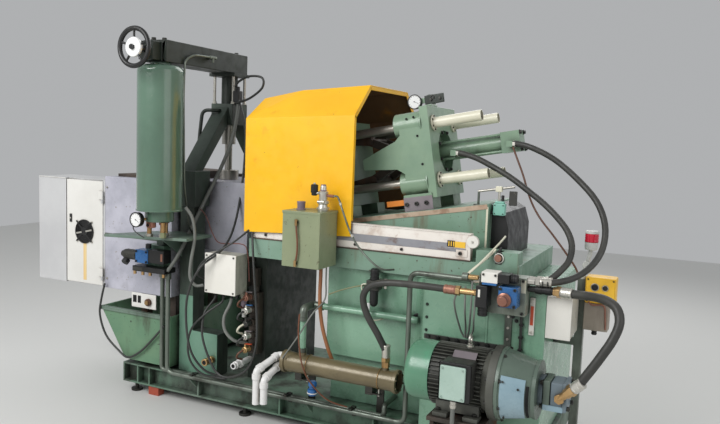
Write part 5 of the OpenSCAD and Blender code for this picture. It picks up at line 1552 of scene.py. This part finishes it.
def makeLimitSwitch():
    y, front = switch["y"], switch["front"]
    parts = [block((975, front, 1249), (1035, -236, 1309), "mint", 5),
             block((982, -268, 1309), (1028, -240, 1320), "mint", 3),
             rod((1000, y, 1320), upward, 52, 12, "zinc", 1, 24),
             ribbed((1018, y, 1309), (1018, y, 1350), 16, "blackPlastic", 3),
             block((982, -269, 1366), (1014, -241, 1394), "coverCream", 3),
             bar((890, y, 1362), (1075, y, 1395), 12, "brightSteel", 1, 24),
             rod((895, y, 1298), upward, 65, 12, "pipeSteel", 1, 24),
             block((872, -268, 1288), (918, -242, 1298), "darkSteel", 2),
             block((1046, -244, 1300), (1086, -236, 1372), "darkSteel", 3),
             rod((955, y, 1262), toRight, 20, 18, "blackPlastic", 2, 24)]
    parts += heads(switch["screwX"], front, switch["screwZ"], toFront, 6)
    piece("limit_switch_unit", parts, stands=["limit_switch"])
    lever = [(1040, -420, 1100), (1000, -470, 1052), (962, -520, 1012), (940, -560, 985)]
    x, y, z = switch["roller"]
    roller = [block((1040, y, 1030), (1076, -372, 1092), "darkSteel", 4),
              rod((x, y, z), toFront, 16, 34, "copper", 2, 32),
              ring((x + 2, y - 5, z), toFront, 44, 5, "boxWhite", sides=40),
              bar((x, y, z + 30), (x + 8, y + 11, z + 50), 14, "blackPlastic", 2, 24),
              tube(lever, 11, "coverCream")]
    piece("roller_lever", roller)


makeButtonBox()
makeBeacon()
makeLimitSwitch()
print("controls made")


# Cables and small hoses between the parts, each hung along its own route
cables = {
    "brown_hose": (10, "hoseBrown", [
        (1015, -95, 1590), (1040, -100, 1535), (1080, -115, 1450), (1130, -140, 1330), (1185, -160, 1245),
        (1255, -180, 1170), (1325, -195, 1090), (1375, -198, 1025), (1392, -198, 992)]),
    "ladle_lead": (22, "conduitGrey", [
        (-722, -50, 1870), (-706, -72, 1755), (-695, -140, 1570), (-715, -230, 1385), (-745, -330, 1210),
        (-775, -430, 1025), (-800, -500, 895), (-852, -530, 800)]),
    "column_loop": (13, "cableBlack", [
        (-722, -62, 1830), (-680, -75, 1770), (-620, -110, 1610), (-570, -200, 1335), (-530, -330, 1080),
        (-505, -480, 955), (-575, -585, 860), (-640, -610, 700), (-650, -605, 520), (-625, -590, 370),
        (-570, -550, 270), (-510, -505, 232), (-450, -488, 218)]),
    "burner_loop": (13, "cableBlack", [
        (-1405, -460, 650), (-1425, -470, 545), (-1430, -475, 450), (-1380, -475, 330), (-1280, -475, 250),
        (-1200, -475, 215), (-1105, -475, 265), (-1010, -475, 355), (-915, -480, 455)]),
    "box_loop": (13, "cableBlack", [
        (-352, -404, 1120), (-325, -450, 1040), (-275, -500, 840), (-230, -530, 575), (-230, -545, 425),
        (-280, -550, 315), (-390, -550, 255), (-475, -550, 265), (-540, -545, 345), (-590, -540, 465),
        (-600, -510, 580), (-572, -466, 650), (-560, -460, 679)]),
    "inner_loop": (12, "cableBlack", [
        (-505, -460, 679), (-515, -470, 645), (-575, -520, 590), (-650, -555, 500), (-675, -560, 390),
        (-650, -560, 300), (-585, -545, 240), (-515, -510, 222), (-455, -500, 218)]),
    "grey_sleeve": (18, "conduitGrey", [
        (-450, -460, 679), (-458, -466, 640), (-478, -490, 570), (-462, -500, 500), (-415, -480, 445),
        (-374, -410, 418)]),
    "gauge_conduit": (18, "conduitGrey", [
        (-693, -572, 1185), (-650, -566, 1130), (-635, -560, 1025), (-660, -560, 880), (-668, -555, 790),
        (-645, -535, 742), (-606, -515, 745)]),
    "shelf_cable": (11, "cableBlack", [
        (-352, -446, 1075), (-405, -515, 1010), (-495, -560, 945), (-580, -568, 880), (-628, -540, 805),
        (-603, -480, 772)]),
    "red_line": (6, "cableRed", [
        (-740, -380, 1160), (-690, -388, 1120), (-635, -390, 1015), (-575, -400, 975), (-420, -410, 985),
        (-375, -420, 940), (-360, -420, 780)]),
    "top_loop": (14, "cableBlack", [
        (-724, -75, 1895), (-690, -85, 1925), (-610, -90, 1955), (-520, -90, 1945), (-520, -90, 1885),
        (-605, -88, 1825), (-690, -78, 1800), (-722, -72, 1796)]),
}


def makeCables():
    for name, (d, paint, route) in cables.items():
        way = smooth(route, 5)
        obj = piece(name, [line(way, d, paint, sides=4, keep=True)])


makeCables()
print("cables made")


# Floor, light and the plain background
studio = {"floor": 16, "floorTint": "d9d9d6", "skyTint": "eef0f2", "sky": 0.5, "aim": (0, 0, 1.0),
          "lamps": {"key": (230, (-1.6, -4.6, 4.0), 3.2), "fill": (30, (4.2, -1.6, 2.4), 3.0),
                    "back": (90, (0.6, 3.8, 4.0), 3.5)}}


def makeStudio():
    bpy.ops.mesh.primitive_plane_add(size=studio["floor"], location=(0, 0, 0))
    floor = bpy.context.object
    floor.name = "studio_floor"
    paleFloor = bpy.data.materials.new("paleFloor")
    paleFloor.use_nodes = True
    shader = paleFloor.node_tree.nodes["Principled BSDF"]
    shader.inputs["Base Color"].default_value = tint(studio["floorTint"])
    shader.inputs["Roughness"].default_value = 0.6
    floor.data.materials.append(paleFloor)
    world = bpy.data.worlds.new("studio")
    bpy.context.scene.world = world
    world.use_nodes = True
    background = world.node_tree.nodes["Background"]
    background.inputs["Color"].default_value = tint(studio["skyTint"])
    background.inputs["Strength"].default_value = studio["sky"]
    bpy.context.scene.view_settings.view_transform = "Standard"
    for name, (power, place, size) in studio["lamps"].items():
        bpy.ops.object.light_add(type="AREA", location=place)
        lamp = bpy.context.object
        lamp.name = name + "_light"
        lamp.data.energy = power
        lamp.data.size = size
        lamp.rotation_euler = (Vector(studio["aim"]) - Vector(place)).to_track_quat("-Z", "Y").to_euler()


makeStudio()
print("scene complete")
